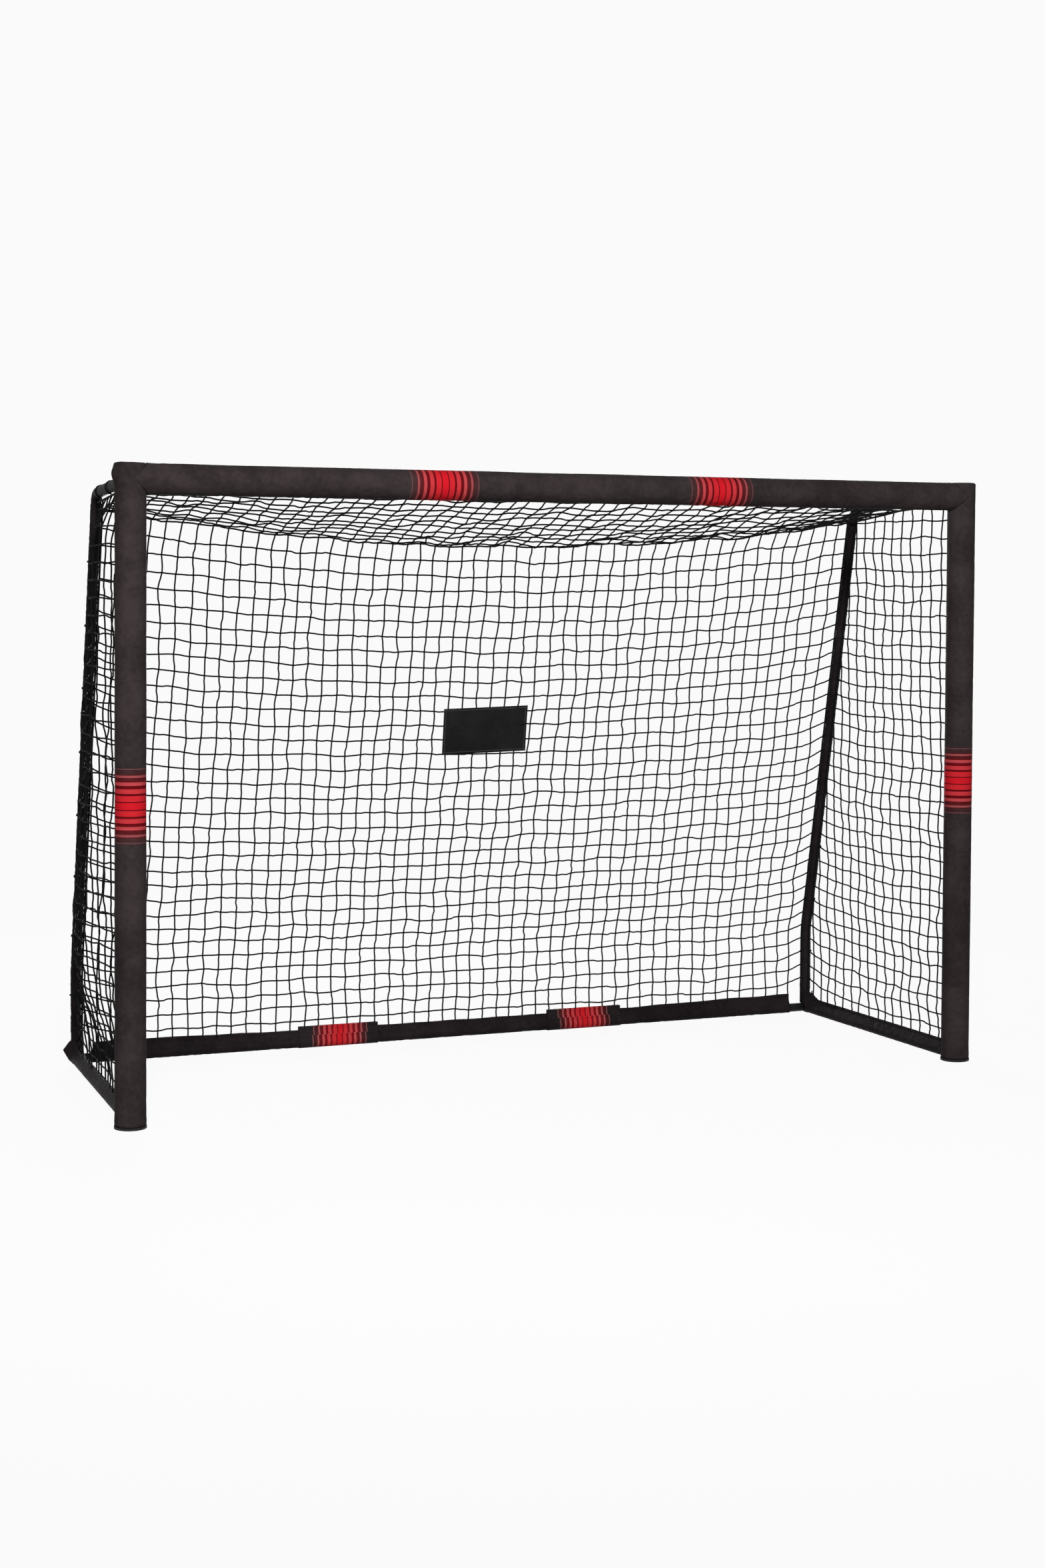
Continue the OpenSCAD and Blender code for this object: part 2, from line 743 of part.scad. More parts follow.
// Front edge of the stay at a height, less room for the sleeve and the net's edge cord
function stay_front_y(z) = z < kink_z
    ? rear_y - net_clear
    : rear_y - net_clear / lean_dir.z + (z - kink_z) * lean_dir.y / lean_dir.z;
bend_turn = acos(arm_dir(right) * -lean_dir);
corner_ease = (bend_r - net_clear) * (1 / cos(bend_turn / 2) - 1);
side_top_rear = bend_z - net_clear - corner_ease;
side_top_front = bar_z - net_clear - arm_drop * (net_front_y - front_y) / arm_l;

function side_point(side, u, v) =
    let (
        rear_z = mix(net_bottom_z, side_top_rear, v),
        front_z = mix(net_bottom_z, side_top_front, v),
        rear = [side * rear_x, stay_front_y(rear_z), rear_z],
        front = [side * post_x, net_front_y, front_z]
    )
    mix(front, rear, u);

module net_back() {
    net_sheet(net_gaps_x, net_gaps_z, back_sheet);
}

module net_roof() {
    net_sheet(net_gaps_x, net_gaps_roof, roof_sheet);
}

module net_side(side) {
    net_sheet(net_gaps_y, net_gaps_z, function (u, v) side_point(side, u, v));
}

module net_label() {
    front = cross([1, 0, 0], lean_dir);
    middle = [0, rear_y, kink_z] + lean_dir * (label_z - kink_z) / lean_dir.z
        + front * (net_cord / 2 + cloth_gap);
    color(tape_colour) along(middle, front, lean_dir)
        translate([-label_w / 2, -label_h / 2, 0]) cube([label_w, label_h, label_t]);
}

post_lower_tube(left);  // left_post_lower_tube
post_upper_tube(left);  // left_post_upper_tube
post_lower_tube(right);  // right_post_lower_tube
post_upper_tube(right);  // right_post_upper_tube
crossbar_end_tube(left);  // crossbar_left_tube
crossbar_middle_tube();
crossbar_end_tube(right);  // crossbar_right_tube
top_corner(left);  // left_top_corner
top_corner(right);  // right_top_corner
foot_elbow(left);  // left_foot_elbow
foot_elbow(right);  // right_foot_elbow
foot_cap(left);  // left_foot_cap
foot_cap(right);  // right_foot_cap
stay_upper_tube(left);  // left_stay_upper_tube
stay_upper_tube(right);  // right_stay_upper_tube
stay_lower_tube(left);  // left_stay_lower_tube
stay_lower_tube(right);  // right_stay_lower_tube
rear_corner(left);  // left_rear_corner
rear_corner(right);  // right_rear_corner
side_rail_tube(left);  // left_side_rail_tube
side_rail_tube(right);  // right_side_rail_tube
rear_rail_end_tube(left);  // rear_rail_left_tube
rear_rail_middle_tube();
rear_rail_end_tube(right);  // rear_rail_right_tube
post_foam(left);  // left_post_foam
post_foam(right);  // right_post_foam
crossbar_foam();
post_cover(left);  // left_post_cover
post_cover(right);  // right_post_cover
crossbar_cover();
stay_sleeve(left);  // left_stay_sleeve
stay_sleeve(right);  // right_stay_sleeve
side_rail_cover(left);  // left_side_rail_cover
side_rail_cover(right);  // right_side_rail_cover
rear_rail_cover();
rear_wrap(left);  // rear_left_wrap
rear_wrap(right);  // rear_right_wrap
post_tape(left);  // left_post_tape
post_tape(right);  // right_post_tape
crossbar_tape();
net_roof();
net_back();
net_side(left);  // net_left
net_side(right);  // net_right
net_label();
post_button(left);  // left_post_button
post_button(right);  // right_post_button
crossbar_button(left);  // crossbar_left_button
crossbar_button(right);  // crossbar_right_button
rear_rail_button(left);  // rear_rail_left_button
rear_rail_button(right);  // rear_rail_right_button
post_spring(left);  // left_post_spring
post_spring(right);  // right_post_spring
crossbar_spring(left);  // crossbar_left_spring
crossbar_spring(right);  // crossbar_right_spring
rear_rail_spring(left);  // rear_rail_left_spring
rear_rail_spring(right);  // rear_rail_right_spring
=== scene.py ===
"""Padded garden football goal: sewn covers, sleeves and a hung net, dressed round its steel frame.

Metres. X runs across the mouth, +Y to the back of the goal, +Z up.
"""

import logging
import math
from dataclasses import dataclass, field
from enum import Enum
from typing import Any, Optional, Sequence, Union

import bmesh
import bpy
import numpy as np
from mathutils import Matrix, Vector


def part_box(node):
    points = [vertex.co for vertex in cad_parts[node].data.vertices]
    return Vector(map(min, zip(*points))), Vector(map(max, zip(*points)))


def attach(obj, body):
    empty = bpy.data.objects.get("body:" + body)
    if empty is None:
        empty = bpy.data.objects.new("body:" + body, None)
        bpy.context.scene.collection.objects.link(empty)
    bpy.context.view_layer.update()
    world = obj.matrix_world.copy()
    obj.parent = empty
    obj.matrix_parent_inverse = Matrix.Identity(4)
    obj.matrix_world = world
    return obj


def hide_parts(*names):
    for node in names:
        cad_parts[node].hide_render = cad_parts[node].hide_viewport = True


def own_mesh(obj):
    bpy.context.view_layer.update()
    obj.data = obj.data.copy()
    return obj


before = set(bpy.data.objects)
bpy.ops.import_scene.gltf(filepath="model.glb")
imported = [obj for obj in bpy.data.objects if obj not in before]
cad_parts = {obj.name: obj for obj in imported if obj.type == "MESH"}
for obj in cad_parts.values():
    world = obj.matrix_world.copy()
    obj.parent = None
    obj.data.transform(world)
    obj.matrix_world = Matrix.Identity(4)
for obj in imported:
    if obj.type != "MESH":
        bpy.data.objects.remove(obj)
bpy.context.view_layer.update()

log = logging.getLogger("goal")
Array = np.ndarray
Reals = Union[float, Array]
Pair = tuple[float, float]
Colour = tuple[float, float, float]
Piece = bpy.types.Object
Socket = bpy.types.NodeSocket
Material = bpy.types.Material
BODY = "frame"
CLOTH_UV = "cloth"
X = np.array([1.0, 0.0, 0.0])
Y = np.array([0.0, 1.0, 0.0])
Z = np.array([0.0, 0.0, 1.0])


class Side(Enum):
    """The two halves of the goal, as seen from in front."""

    LEFT = -1
    RIGHT = 1

    @property
    def word(self) -> str:
        """The side's name as the nodes spell it."""
        return self.name.lower()

    @property
    def number(self) -> int:
        """0 for the left side and 1 for the right, to pick one of a pair."""
        return (self.value + 1) // 2


class Slot(Enum):
    """The finishes of the new pieces, as the record names them."""

    FOAM = "foam"
    PAD = "pad_cover_cloth"
    RAIL = "rail_cover_cloth"
    PRINT = "printed_cloth"
    TAPE = "hook_tape"
    CORD = "net_cord"
    LABEL = "label_cloth"
    SPRING = "spring_steel"


# ---- sizes


@dataclass(frozen=True)
class GoalSizes:
    """Places and radii of the goal's frame, read off its nodes."""

    post_x: float
    front_y: float
    pad_r: float
    foot_z: float
    top_z: float
    bar_z: float
    rear_x: float
    rear_y: float
    rail_z: float
    rail_r: float
    cover_end_x: float
    cover_z: float
    wrap_x: float
    wrap_w: float
    wrap_z: float
    tape_w: float
    tape_low: float
    tape_high: float
    tape_half: float
    tape_y: float

    @classmethod
    def from_frame(cls) -> "GoalSizes":
        """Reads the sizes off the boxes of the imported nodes.

        Returns:
            The goal's sizes.
        """
        post_low, post_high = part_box("right_post_cover")
        bar_low, bar_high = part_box("crossbar_cover")
        rail_low, rail_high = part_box("rear_rail_middle_tube")
        stay_low, stay_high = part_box("right_stay_lower_tube")
        cover_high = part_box("rear_rail_cover")[1]
        wrap_low, wrap_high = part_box("rear_right_wrap")
        tape_low, tape_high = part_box("right_post_tape")
        bar_tape_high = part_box("crossbar_tape")[1]
        return cls(
            post_x=(post_low.x + post_high.x) / 2,
            front_y=(post_low.y + post_high.y) / 2,
            pad_r=(post_high.x - post_low.x) / 2,
            foot_z=post_low.z,
            top_z=post_high.z,
            bar_z=(bar_low.z + bar_high.z) / 2,
            rear_x=(stay_low.x + stay_high.x) / 2,
            rear_y=(rail_low.y + rail_high.y) / 2,
            rail_z=(rail_low.z + rail_high.z) / 2,
            rail_r=(rail_high.z - rail_low.z) / 2,
            cover_end_x=cover_high.x,
            cover_z=cover_high.z,
            wrap_x=(wrap_low.x + wrap_high.x) / 2,
            wrap_w=wrap_high.x - wrap_low.x,
            wrap_z=wrap_high.z,
            tape_w=tape_high.x - tape_low.x,
            tape_low=tape_low.z,
            tape_high=tape_high.z,
            tape_half=bar_tape_high.x,
            tape_y=bar_tape_high.y,
        )

    def post_at(self, side: Side, z: float) -> Array:
        """A point on the axis of a post."""
        return np.array([side.value * self.post_x, self.front_y, z])

    def rear_at(self, side: Side, z: float) -> Array:
        """A point above or below a rear corner's axis."""
        return np.array([side.value * self.rear_x, self.rear_y, z])


# ---- curves


def unit(v: Array) -> Array:
    """Vectors at length one, along their last axis."""
    return v / np.maximum(np.linalg.norm(v, axis=-1, keepdims=True), 1e-12)


def ease(x: Reals) -> Reals:
    """A smooth step from 0 to 1 as x goes from 0 to 1."""
    t = np.clip(x, 0.0, 1.0)
    return t * t * (3.0 - 2.0 * t)


def fade(x: Reals, reach: float) -> Reals:
    """1 up to 0, and then less and less over a reach."""
    return np.exp(-np.maximum(x, 0.0) / reach)


def lengths(points: Array) -> Array:
    """Distance along a run of points, from its first."""
    return np.concatenate([[0.0], np.cumsum(np.linalg.norm(np.diff(points, axis=0), axis=1))])


def resample(points: Array, count: int) -> Array:
    """Evenly spaced points along a run.

    Args:
        points: the run's own points.
        count: how many points come back.

    Returns:
        The new points, with the run's first and last kept.
    """
    at = lengths(points)
    wanted = np.linspace(0.0, at[-1], count)
    return np.stack([np.interp(wanted, at, points[:, k]) for k in range(points.shape[1])], axis=1)


def rounded_run(corners: Sequence[Array], radii: Sequence[float], turns: int = 12) -> Array:
    """Straight stretches joined by round bends.

    Args:
        corners: the run's ends and the sharp corners between them.
        radii: the bend's radius at each inner corner.
        turns: how many steps each bend takes.

    Returns:
        The points of the run.
    """
    run = [corners[0]]
    for before, corner, after, radius in zip(corners, corners[1:], corners[2:], radii):
        into, out = unit(corner - before), unit(after - corner)
        angle = math.acos(float(np.clip(into @ out, -1.0, 1.0)))
        inward = unit(out - into * (into @ out))
        centre = corner - into * radius * math.tan(angle / 2) + inward * radius
        run += [centre + radius * (into * math.sin(t) - inward * math.cos(t))
                for t in np.linspace(0.0, angle, turns)]
    return np.array(run + [corners[-1]])


def soft_line(knots: Array, steps: int) -> Array:
    """A smooth line through every knot.

    Args:
        knots: the points that the line passes.
        steps: how many steps it takes from each knot to the next.

    Returns:
        The line's points.
    """
    padded = np.vstack([2 * knots[0] - knots[1], knots, 2 * knots[-1] - knots[-2]])
    p0, p1, p2, p3 = padded[:-3], padded[1:-2], padded[2:-1], padded[3:]
    parts = []
    for t in np.arange(steps) / steps:
        parts.append(0.5 * (2 * p1 + (p2 - p0) * t + (2 * p0 - 5 * p1 + 4 * p2 - p3) * t ** 2
                            + (3 * p1 - p0 - 3 * p2 + p3) * t ** 3))
    line = np.stack(parts, axis=1).reshape(-1, 3)
    return np.vstack([line, knots[-1:]])


def rings(run: Array, radius: float, one: Array, two: Array, turns: Array) -> Array:
    """Rings of points round a run, which start in direction one and turn towards direction two."""
    return run[:, None, :] + radius * (np.cos(turns)[None, :, None] * one[:, None, :]
                                       + np.sin(turns)[None, :, None] * two[:, None, :])


@dataclass(frozen=True)
class Waves:
    """Ripples on a piece of cloth: how far apart, how they slant, how sharp and how high they are.

    The slant is the angle in degrees between the ripples' own direction of travel and the cloth's
    axis, so 0 gives rings round a tube and 90 gives pleats along it.
    """

    length: float
    slant: float = 45.0
    spread: float = 45.0
    sharp: float = 0.0
    rise: float = 1.0
    count: int = 16

    def height(self, points: Array, axis: Array, seed: int) -> Array:
        """Height of the ripples at each point, up or down by about their rise.

        Args:
            points: places, with x, y and z along the last axis.
            axis: the direction that the cloth runs in.
            seed: which set of ripples it is.

        Returns:
            One height for each point.
        """
        rng = np.random.default_rng(seed)
        across = unit(np.cross(axis, X + 0.37 * Y + 0.11 * Z))
        other = np.cross(axis, across)
        total = np.zeros(points.shape[:-1])
        for _ in range(self.count):
            lean = math.radians(self.slant + self.spread * rng.uniform(-1.0, 1.0))
            turn = rng.uniform(0.0, math.tau)
            heading = axis * math.cos(lean) + math.sin(lean) * (
                across * math.cos(turn) + other * math.sin(turn))
            pace = math.tau / (self.length * rng.uniform(0.7, 1.5))
            total += np.cos(pace * (points @ heading) + rng.uniform(0.0, math.tau))
        total /= math.sqrt(self.count / 2)
        creased = 1.0 - 2.0 * np.abs(np.tanh(total))
        return self.rise * ((1.0 - self.sharp) * total / 2 + self.sharp * creased)


@dataclass(frozen=True)
class Ridge:
    """A rounded ridge in cloth, such as a hem: where it lies, how wide it is and how high."""

    place: float
    width: float
    rise: float = 1.0

    def height(self, x: Array) -> Array:
        """Height of the ridge at each place."""
        return self.rise * np.exp(-((x - self.place) / self.width) ** 2)


# ---- cloth and cords as meshes


def placed(name: str, data: bpy.types.ID) -> Piece:
    """A new object in the scene."""
    made = bpy.data.objects.new(name, data)
    bpy.context.scene.collection.objects.link(made)
    return made


def apply_modifier(piece: Piece, kind: str, **settings: Any) -> None:
    """Adds a modifier to a piece and applies it.

    Args:
        piece: the object it is for.
        kind: the modifier's type.
        settings: its settings by name.
    """
    bpy.ops.object.select_all(action="DESELECT")
    bpy.context.view_layer.objects.active = piece
    piece.select_set(True)
    modifier = piece.modifiers.new(kind.lower(), kind)
    for name, value in settings.items():
        setattr(modifier, name, value)
    bpy.ops.object.modifier_apply(modifier=modifier.name)
    piece.select_set(False)


def lattice(along: Array, around: Array, closed: bool) -> tuple[Array, Array]:
    """Quads over rows of points, with their map.

    Args:
        along: how far along the map each row lies.
        around: how far across it each point of a row lies, and in a ring the first one once more.
        closed: whether each row is a ring.

    Returns:
        For each quad its four points and their four places on the map.
    """
    spans = len(around) - 1
    width = spans if closed else spans + 1
    i, j = (g.ravel() for g in np.meshgrid(np.arange(len(along) - 1), np.arange(spans), indexing="ij"))
    corners = ((i, j), (i + 1, j), (i + 1, j + 1), (i, j + 1))
    quads = np.stack([row * width + place % width for row, place in corners], axis=1)
    uv = np.stack([np.stack([around[place], along[row]], axis=1) for row, place in corners], axis=1)
    return quads, uv


@dataclass(frozen=True)
class Hole:
    """A round hole that something passes through, from a point along a direction."""

    at: Array
    towards: Array
    radius: float
    reach: float = 0.08


@dataclass
class Cloth:
    """A piece of cloth as rows of points, each row one step further along what it goes round."""

    rows: Array
    spine: Array
    closed: bool = True
    holes: list[Hole] = field(default_factory=list)

    def normals(self) -> Array:
        """Finds which way the cloth faces.

        Returns:
            The outward normal at each point.
        """
        along = np.gradient(self.rows, axis=0)
        if self.closed:
            across = np.roll(self.rows, -1, axis=1) - np.roll(self.rows, 1, axis=1)
        else:
            across = np.gradient(self.rows, axis=1)
        normal = unit(np.cross(along, across))
        outward = np.mean(np.sum(normal * (self.rows - self.spine[:, None, :]), axis=2))
        return normal if outward > 0 else -normal

    def push(self, height: Array) -> None:
        """Moves each point out by its own height."""
        self.rows = self.rows + self.normals() * height[..., None]

    def measures(self) -> tuple[Array, Array]:
        """Measures the cloth.

        Returns:
            Distances in metres along the rows and across them, averaged over the cloth.
        """
        steps = np.linalg.norm(np.diff(self.rows, axis=0), axis=2).mean(axis=1)
        ring = np.concatenate([self.rows, self.rows[:, :1]], axis=1) if self.closed else self.rows
        around = np.linalg.norm(np.diff(ring, axis=1), axis=2).mean(axis=0)
        return np.concatenate([[0.0], np.cumsum(steps)]), np.concatenate([[0.0], np.cumsum(around)])

    @property
    def flat(self) -> Pair:
        """The width and length of the cloth when it is laid flat."""
        along, around = self.measures()
        return float(around[-1]), float(along[-1])

    def mesh(self, name: str) -> bpy.types.Mesh:
        """The cloth as quads with its own map, whose units are metres.

        Args:
            name: the mesh's name.

        Returns:
            The mesh, with faces that point outwards and its holes cut.
        """
        points = self.rows.reshape(-1, 3)
        quads, uv = lattice(*self.measures(), self.closed)
        a, b, d = (points[quads[:, n]] for n in (0, 1, 3))
        middle = points[quads].mean(axis=1) - self.spine[quads[:, 0] // self.rows.shape[1]]
        if np.mean(np.sum(np.cross(b - a, d - a) * middle, axis=1)) < 0:
            quads, uv = quads[:, ::-1], uv[:, ::-1]
        made = bpy.data.meshes.new(name)
        made.from_pydata(points.tolist(), [], quads.tolist())
        made.uv_layers.new(name=CLOTH_UV).data.foreach_set("uv", uv.astype(np.float32).ravel())
        if self.holes:
            self.cut(made)
        return made

    def cut(self, made: bpy.types.Mesh) -> None:
        """Cuts the holes and draws the cloth in to a clean round edge at each.

        Args:
            made: the cloth's mesh.
        """
        shape = bmesh.new()
        shape.from_mesh(made)
        for hole in self.holes:
            at, towards = Vector(hole.at), Vector(hole.towards).normalized()
            gone, rim = [], set()
            for vertex in shape.verts:
                reach = (vertex.co - at).dot(towards)
                if 0 < reach < hole.reach and (vertex.co - at - towards * reach).length < hole.radius:
                    gone.append(vertex)
            inside = set(gone)
            for vertex in gone:
                rim |= {edge.other_vert(vertex) for edge in vertex.link_edges} - inside
            for vertex in rim:
                on_axis = at + towards * (vertex.co - at).dot(towards)
                away = vertex.co - on_axis
                vertex.co = on_axis + away.normalized() * hole.radius
            bmesh.ops.delete(shape, geom=gone, context="VERTS")
        shape.to_mesh(made)
        shape.free()

    def build(self, name: str, wall: float) -> Piece:
        """Makes the piece, with its wall on the inner side.

        Args:
            name: the piece's name.
            wall: the cloth's thickness.

        Returns:
            The finished object.
        """
        piece = placed(name, self.mesh(name))
        apply_modifier(piece, "SOLIDIFY", thickness=wall, offset=-1.0)
        piece.data.shade_smooth()
        return piece


def joined(name: str, pieces: Sequence[Piece]) -> Piece:
    """Joins objects into one.

    Args:
        name: the name of what comes out.
        pieces: the objects that go in.

    Returns:
        The one object.
    """
    bpy.ops.object.select_all(action="DESELECT")
    for piece in pieces:
        piece.select_set(True)
    bpy.context.view_layer.objects.active = pieces[0]
    bpy.ops.object.join()
    pieces[0].name = pieces[0].data.name = name
    return pieces[0]


@dataclass
class CordWork:
    """Gathers cords and knots and makes one mesh of them."""

    points: list[Array] = field(default_factory=list)
    faces: list[list[int]] = field(default_factory=list)
    maps: list[Array] = field(default_factory=list)
    count: int = 0

    def cord(self, run: Array, radius: float, up: Array, sides: int = 5) -> None:
        """Adds a cord with closed ends.

        Args:
            run: the points of its middle line.
            radius: its radius.
            up: a direction that the run never takes.
            sides: how many sides it has.
        """
        heading = unit(np.gradient(run, axis=0))
        first = unit(np.cross(heading, up))
        rows, outward = len(run), [0, 3, 2, 1]
        quads, uv = lattice(lengths(run), np.arange(sides + 1) * (math.tau * radius / sides), closed=True)
        turns = math.tau * np.arange(sides) / sides
        self.points.append(rings(run, radius, first, np.cross(first, heading), turns).reshape(-1, 3))
        self.faces += (self.count + quads[:, outward]).tolist()
        start, end = self.count, self.count + (rows - 1) * sides
        self.faces.append([start + n for n in reversed(range(sides))])
        self.faces.append([end + n for n in range(sides)])
        self.maps += [uv[:, outward].reshape(-1, 2), np.zeros((2 * sides, 2))]
        self.count += rows * sides

    def knots(self, places: Array, one: Array, two: Array, size: float) -> None:
        """Adds a small knot at each place.

        Args:
            places: where the knots are.
            one: the direction of one cord at each.
            two: the direction of the other cord at each.
            size: half the length of a knot.
        """
        across = unit(np.cross(one, two))
        arms = [one, two, -one, -two, 0.8 * across, -0.8 * across]
        points = places[:, None, :] + size * np.stack(arms, axis=1)
        shape = [[0, 1, 4], [1, 2, 4], [2, 3, 4], [3, 0, 4], [1, 0, 5], [2, 1, 5], [3, 2, 5], [0, 3, 5]]
        for n in range(len(places)):
            base = self.count + 6 * n
            self.faces += [[base + v for v in face] for face in shape]
        self.points.append(points.reshape(-1, 3))
        self.maps.append(np.zeros((24 * len(places), 2)))
        self.count += 6 * len(places)

    def build(self, name: str) -> Piece:
        """Makes the piece from all that was added.

        Args:
            name: the piece's name.

        Returns:
            The finished object.
        """
        made = bpy.data.meshes.new(name)
        made.from_pydata(np.concatenate(self.points).tolist(), [], self.faces)
        uv = np.concatenate(self.maps).astype(np.float32)
        made.uv_layers.new(name=CLOTH_UV).data.foreach_set("uv", uv.ravel())
        made.shade_smooth()
        return placed(name, made)


# ---- shader helpers

Value = Union[float, Sequence[float], Socket]
# The range in which most of the mottle's values lie.
SPREAD = (0.3, 0.7)


class Graph:
    """Adds and links the nodes of one tree."""

    def __init__(self, tree: bpy.types.NodeTree) -> None:
        """Starts on a tree."""
        self.tree = tree

    def put(self, socket: Socket, value: Value) -> None:
        """Links a socket or sets its value.

        Args:
            socket: an input.
            value: the output that feeds it, or a number or colour.
        """
        if isinstance(value, Socket):
            self.tree.links.new(value, socket)
        elif isinstance(value, (tuple, list)) and socket.type == "RGBA" and len(value) == 3:
            socket.default_value = (*value, 1.0)
        else:
            socket.default_value = value

    def add(self, kind: str, inputs: Optional[dict[Union[str, int], Value]] = None,
            **settings: Any) -> bpy.types.Node:
        """Adds a node.

        Args:
            kind: the node's type, without ShaderNode.
            inputs: values or links for its inputs.
            settings: its own settings by name.

        Returns:
            The node.
        """
        node = self.tree.nodes.new("ShaderNode" + kind)
        for name, value in settings.items():
            setattr(node, name, value)
        for key, value in (inputs or {}).items():
            self.put(node.inputs[key], value)
        return node

    def math(self, operation: str, a: Value, b: Value = 0.0, clamp: bool = False) -> Socket:
        """The result of a sum on one or two values."""
        return self.add("Math", {0: a, 1: b}, operation=operation, use_clamp=clamp).outputs[0]

    def times(self, a: Value, b: Value) -> Socket:
        """The product of two values."""
        return self.math("MULTIPLY", a, b)

    def step(self, value: Value, low: float, high: float, to_low: float = 0.0,
             to_high: float = 1.0) -> Socket:
        """A smooth step of a value.

        Args:
            value: what is looked at.
            low: where the step starts.
            high: where it ends.
            to_low: the result before it.
            to_high: the result after it.

        Returns:
            The result's socket.
        """
        node = self.add("MapRange", {"Value": value, "From Min": low, "From Max": high,
                                     "To Min": to_low, "To Max": to_high},
                        interpolation_type="SMOOTHSTEP")
        return node.outputs["Result"]

    def blend(self, factor: Value, a: Value, b: Value) -> Socket:
        """Mixes two colours.

        Args:
            factor: the second colour's share.
            a: the first colour.
            b: the second colour.

        Returns:
            The colour between them.
        """
        node = self.add("Mix", data_type="RGBA")
        for index, value in ((0, factor), (6, a), (7, b)):
            self.put(node.inputs[index], value)
        return node.outputs[2]

    def group(self, name: str, inputs: dict[str, Value]) -> bpy.types.Node:
        """Places a shared group with its own values.

        Args:
            name: the group's name.
            inputs: values or links for its inputs.

        Returns:
            Its node.
        """
        node = self.tree.nodes.new("ShaderNodeGroup")
        node.node_tree = bpy.data.node_groups[name]
        for title, value in inputs.items():
            self.put(node.inputs[title], value)
        return node


def new_group(name: str, inputs: dict[str, tuple[str, float]],
              outputs: Sequence[str]) -> tuple[Graph, bpy.types.NodeOutputs, bpy.types.NodeInputs]:
    """Starts a node group.

    Args:
        name: the group's name.
        inputs: for each input its socket's kind and its value when nothing is linked.
        outputs: the names of its values that go out.

    Returns:
        Its graph, the sockets of what it is given and the sockets of what goes out.
    """
    tree = bpy.data.node_groups.new(name, "ShaderNodeTree")
    for title, (kind, value) in inputs.items():
        socket = tree.interface.new_socket(title, in_out="INPUT", socket_type="NodeSocket" + kind)
        if kind == "Float":
            socket.default_value = value
    for title in outputs:
        tree.interface.new_socket(title, in_out="OUTPUT", socket_type="NodeSocketFloat")
    return Graph(tree), tree.nodes.new("NodeGroupInput").outputs, tree.nodes.new("NodeGroupOutput").inputs


def weave_group() -> None:
    """Plain weave: threads that pass over and under each other at a pitch; its Shade is painted shade, darker
    where the threads dip.
    """
    g, given, out = new_group("weave", {"Vector": ("Vector", 0.0), "Pitch": ("Float", 0.001)},
                              ["Height", "Shade"])
    parts = g.add("SeparateXYZ", {0: given["Vector"]})
    waves = []
    for axis in (0, 1):
        turns = g.math("DIVIDE", parts.outputs[axis], given["Pitch"])
        waves.append(g.math("SINE", g.times(turns, math.pi)))
    over = g.step(g.times(waves[0], waves[1]), -0.25, 0.25)
    warp = g.math("ABSOLUTE", waves[0])
    weft = g.math("ABSOLUTE", waves[1])
    height = g.math("ADD", g.times(warp, over), g.times(weft, g.math("SUBTRACT", 1.0, over)))
    g.put(out["Height"], height)
    # Shade is painted shade: the colour darkens where the threads dip, as the weave's bump does.
    g.put(out["Shade"], g.step(height, 0.1, 0.9, 0.78, 1.08))


def mottle_group() -> None:
    """Broad and fine unevenness of a surface, as one value about 0.5."""
    g, given, out = new_group("mottle", {"Vector": ("Vector", 0.0), "Size": ("Float", 0.05)}, ["Value"])
    scale = g.math("DIVIDE", 1.0, given["Size"])
    broad = g.add("TexNoise", {"Vector": given["Vector"], "Scale": scale, "Detail": 4.0, "Roughness": 0.6})
    fine = g.add("TexNoise", {"Vector": given["Vector"], "Scale": g.times(scale, 9.0), "Detail": 2.0})
    g.put(out["Value"], g.math("ADD", g.times(broad.outputs[0], 0.7), g.times(fine.outputs[0], 0.3)))


def crease_group() -> None:
    """Fine crossing creases of coated cloth that was folded and pulled tight again."""
    g, given, out = new_group("crease", {"Vector": ("Vector", 0.0), "Size": ("Float", 0.02)}, ["Height"])
    scale = g.math("DIVIDE", 1.0, given["Size"])
    bend = g.add("TexNoise", {"Vector": given["Vector"], "Scale": scale, "Detail": 1.0})
    moved = g.add("VectorMath", {0: bend.outputs["Color"]}, operation="SCALE")
    g.put(moved.inputs["Scale"], g.times(given["Size"], 0.8))
    place = g.add("VectorMath", {0: given["Vector"], 1: moved.outputs[0]}, operation="ADD")
    cells = g.add("TexVoronoi", {"Vector": place.outputs[0], "Scale": scale}, feature="DISTANCE_TO_EDGE")
    g.put(out["Height"], g.step(cells.outputs["Distance"], 0.0, 0.12))


def ring_group() -> None:
    """Printed rings that thin out and fade away from the middle of their band."""
    g, given, out = new_group(
        "rings",
        {"Distance": ("Float", 0.0), "Pitch": ("Float", 0.01775), "Count": ("Float", 5.0),
         "Wide": ("Float", 0.0082), "Narrow": ("Float", 0.0013)},
        ["Ring", "Outward", "Band"])
    away = g.math("ABSOLUTE", given["Distance"])
    turns = g.math("DIVIDE", away, given["Pitch"])
    index = g.math("ROUND", turns)
    outward = g.math("DIVIDE", index, given["Count"], clamp=True)
    off = g.math("ABSOLUTE", g.math("SUBTRACT", away, g.times(index, given["Pitch"])))
    shrink = g.times(outward, g.math("SUBTRACT", given["Wide"], given["Narrow"]))
    half = g.math("SUBTRACT", given["Wide"], shrink)
    inside = g.step(g.math("SUBTRACT", half, off), -0.0005, 0.0005)
    counted = g.math("LESS_THAN", index, g.math("ADD", given["Count"], 0.5))
    g.put(out["Ring"], g.times(inside, counted))
    g.put(out["Outward"], outward)
    g.put(out["Band"], g.step(g.math("DIVIDE", turns, given["Count"]), 0.45, 1.12, 1.0, 0.0))


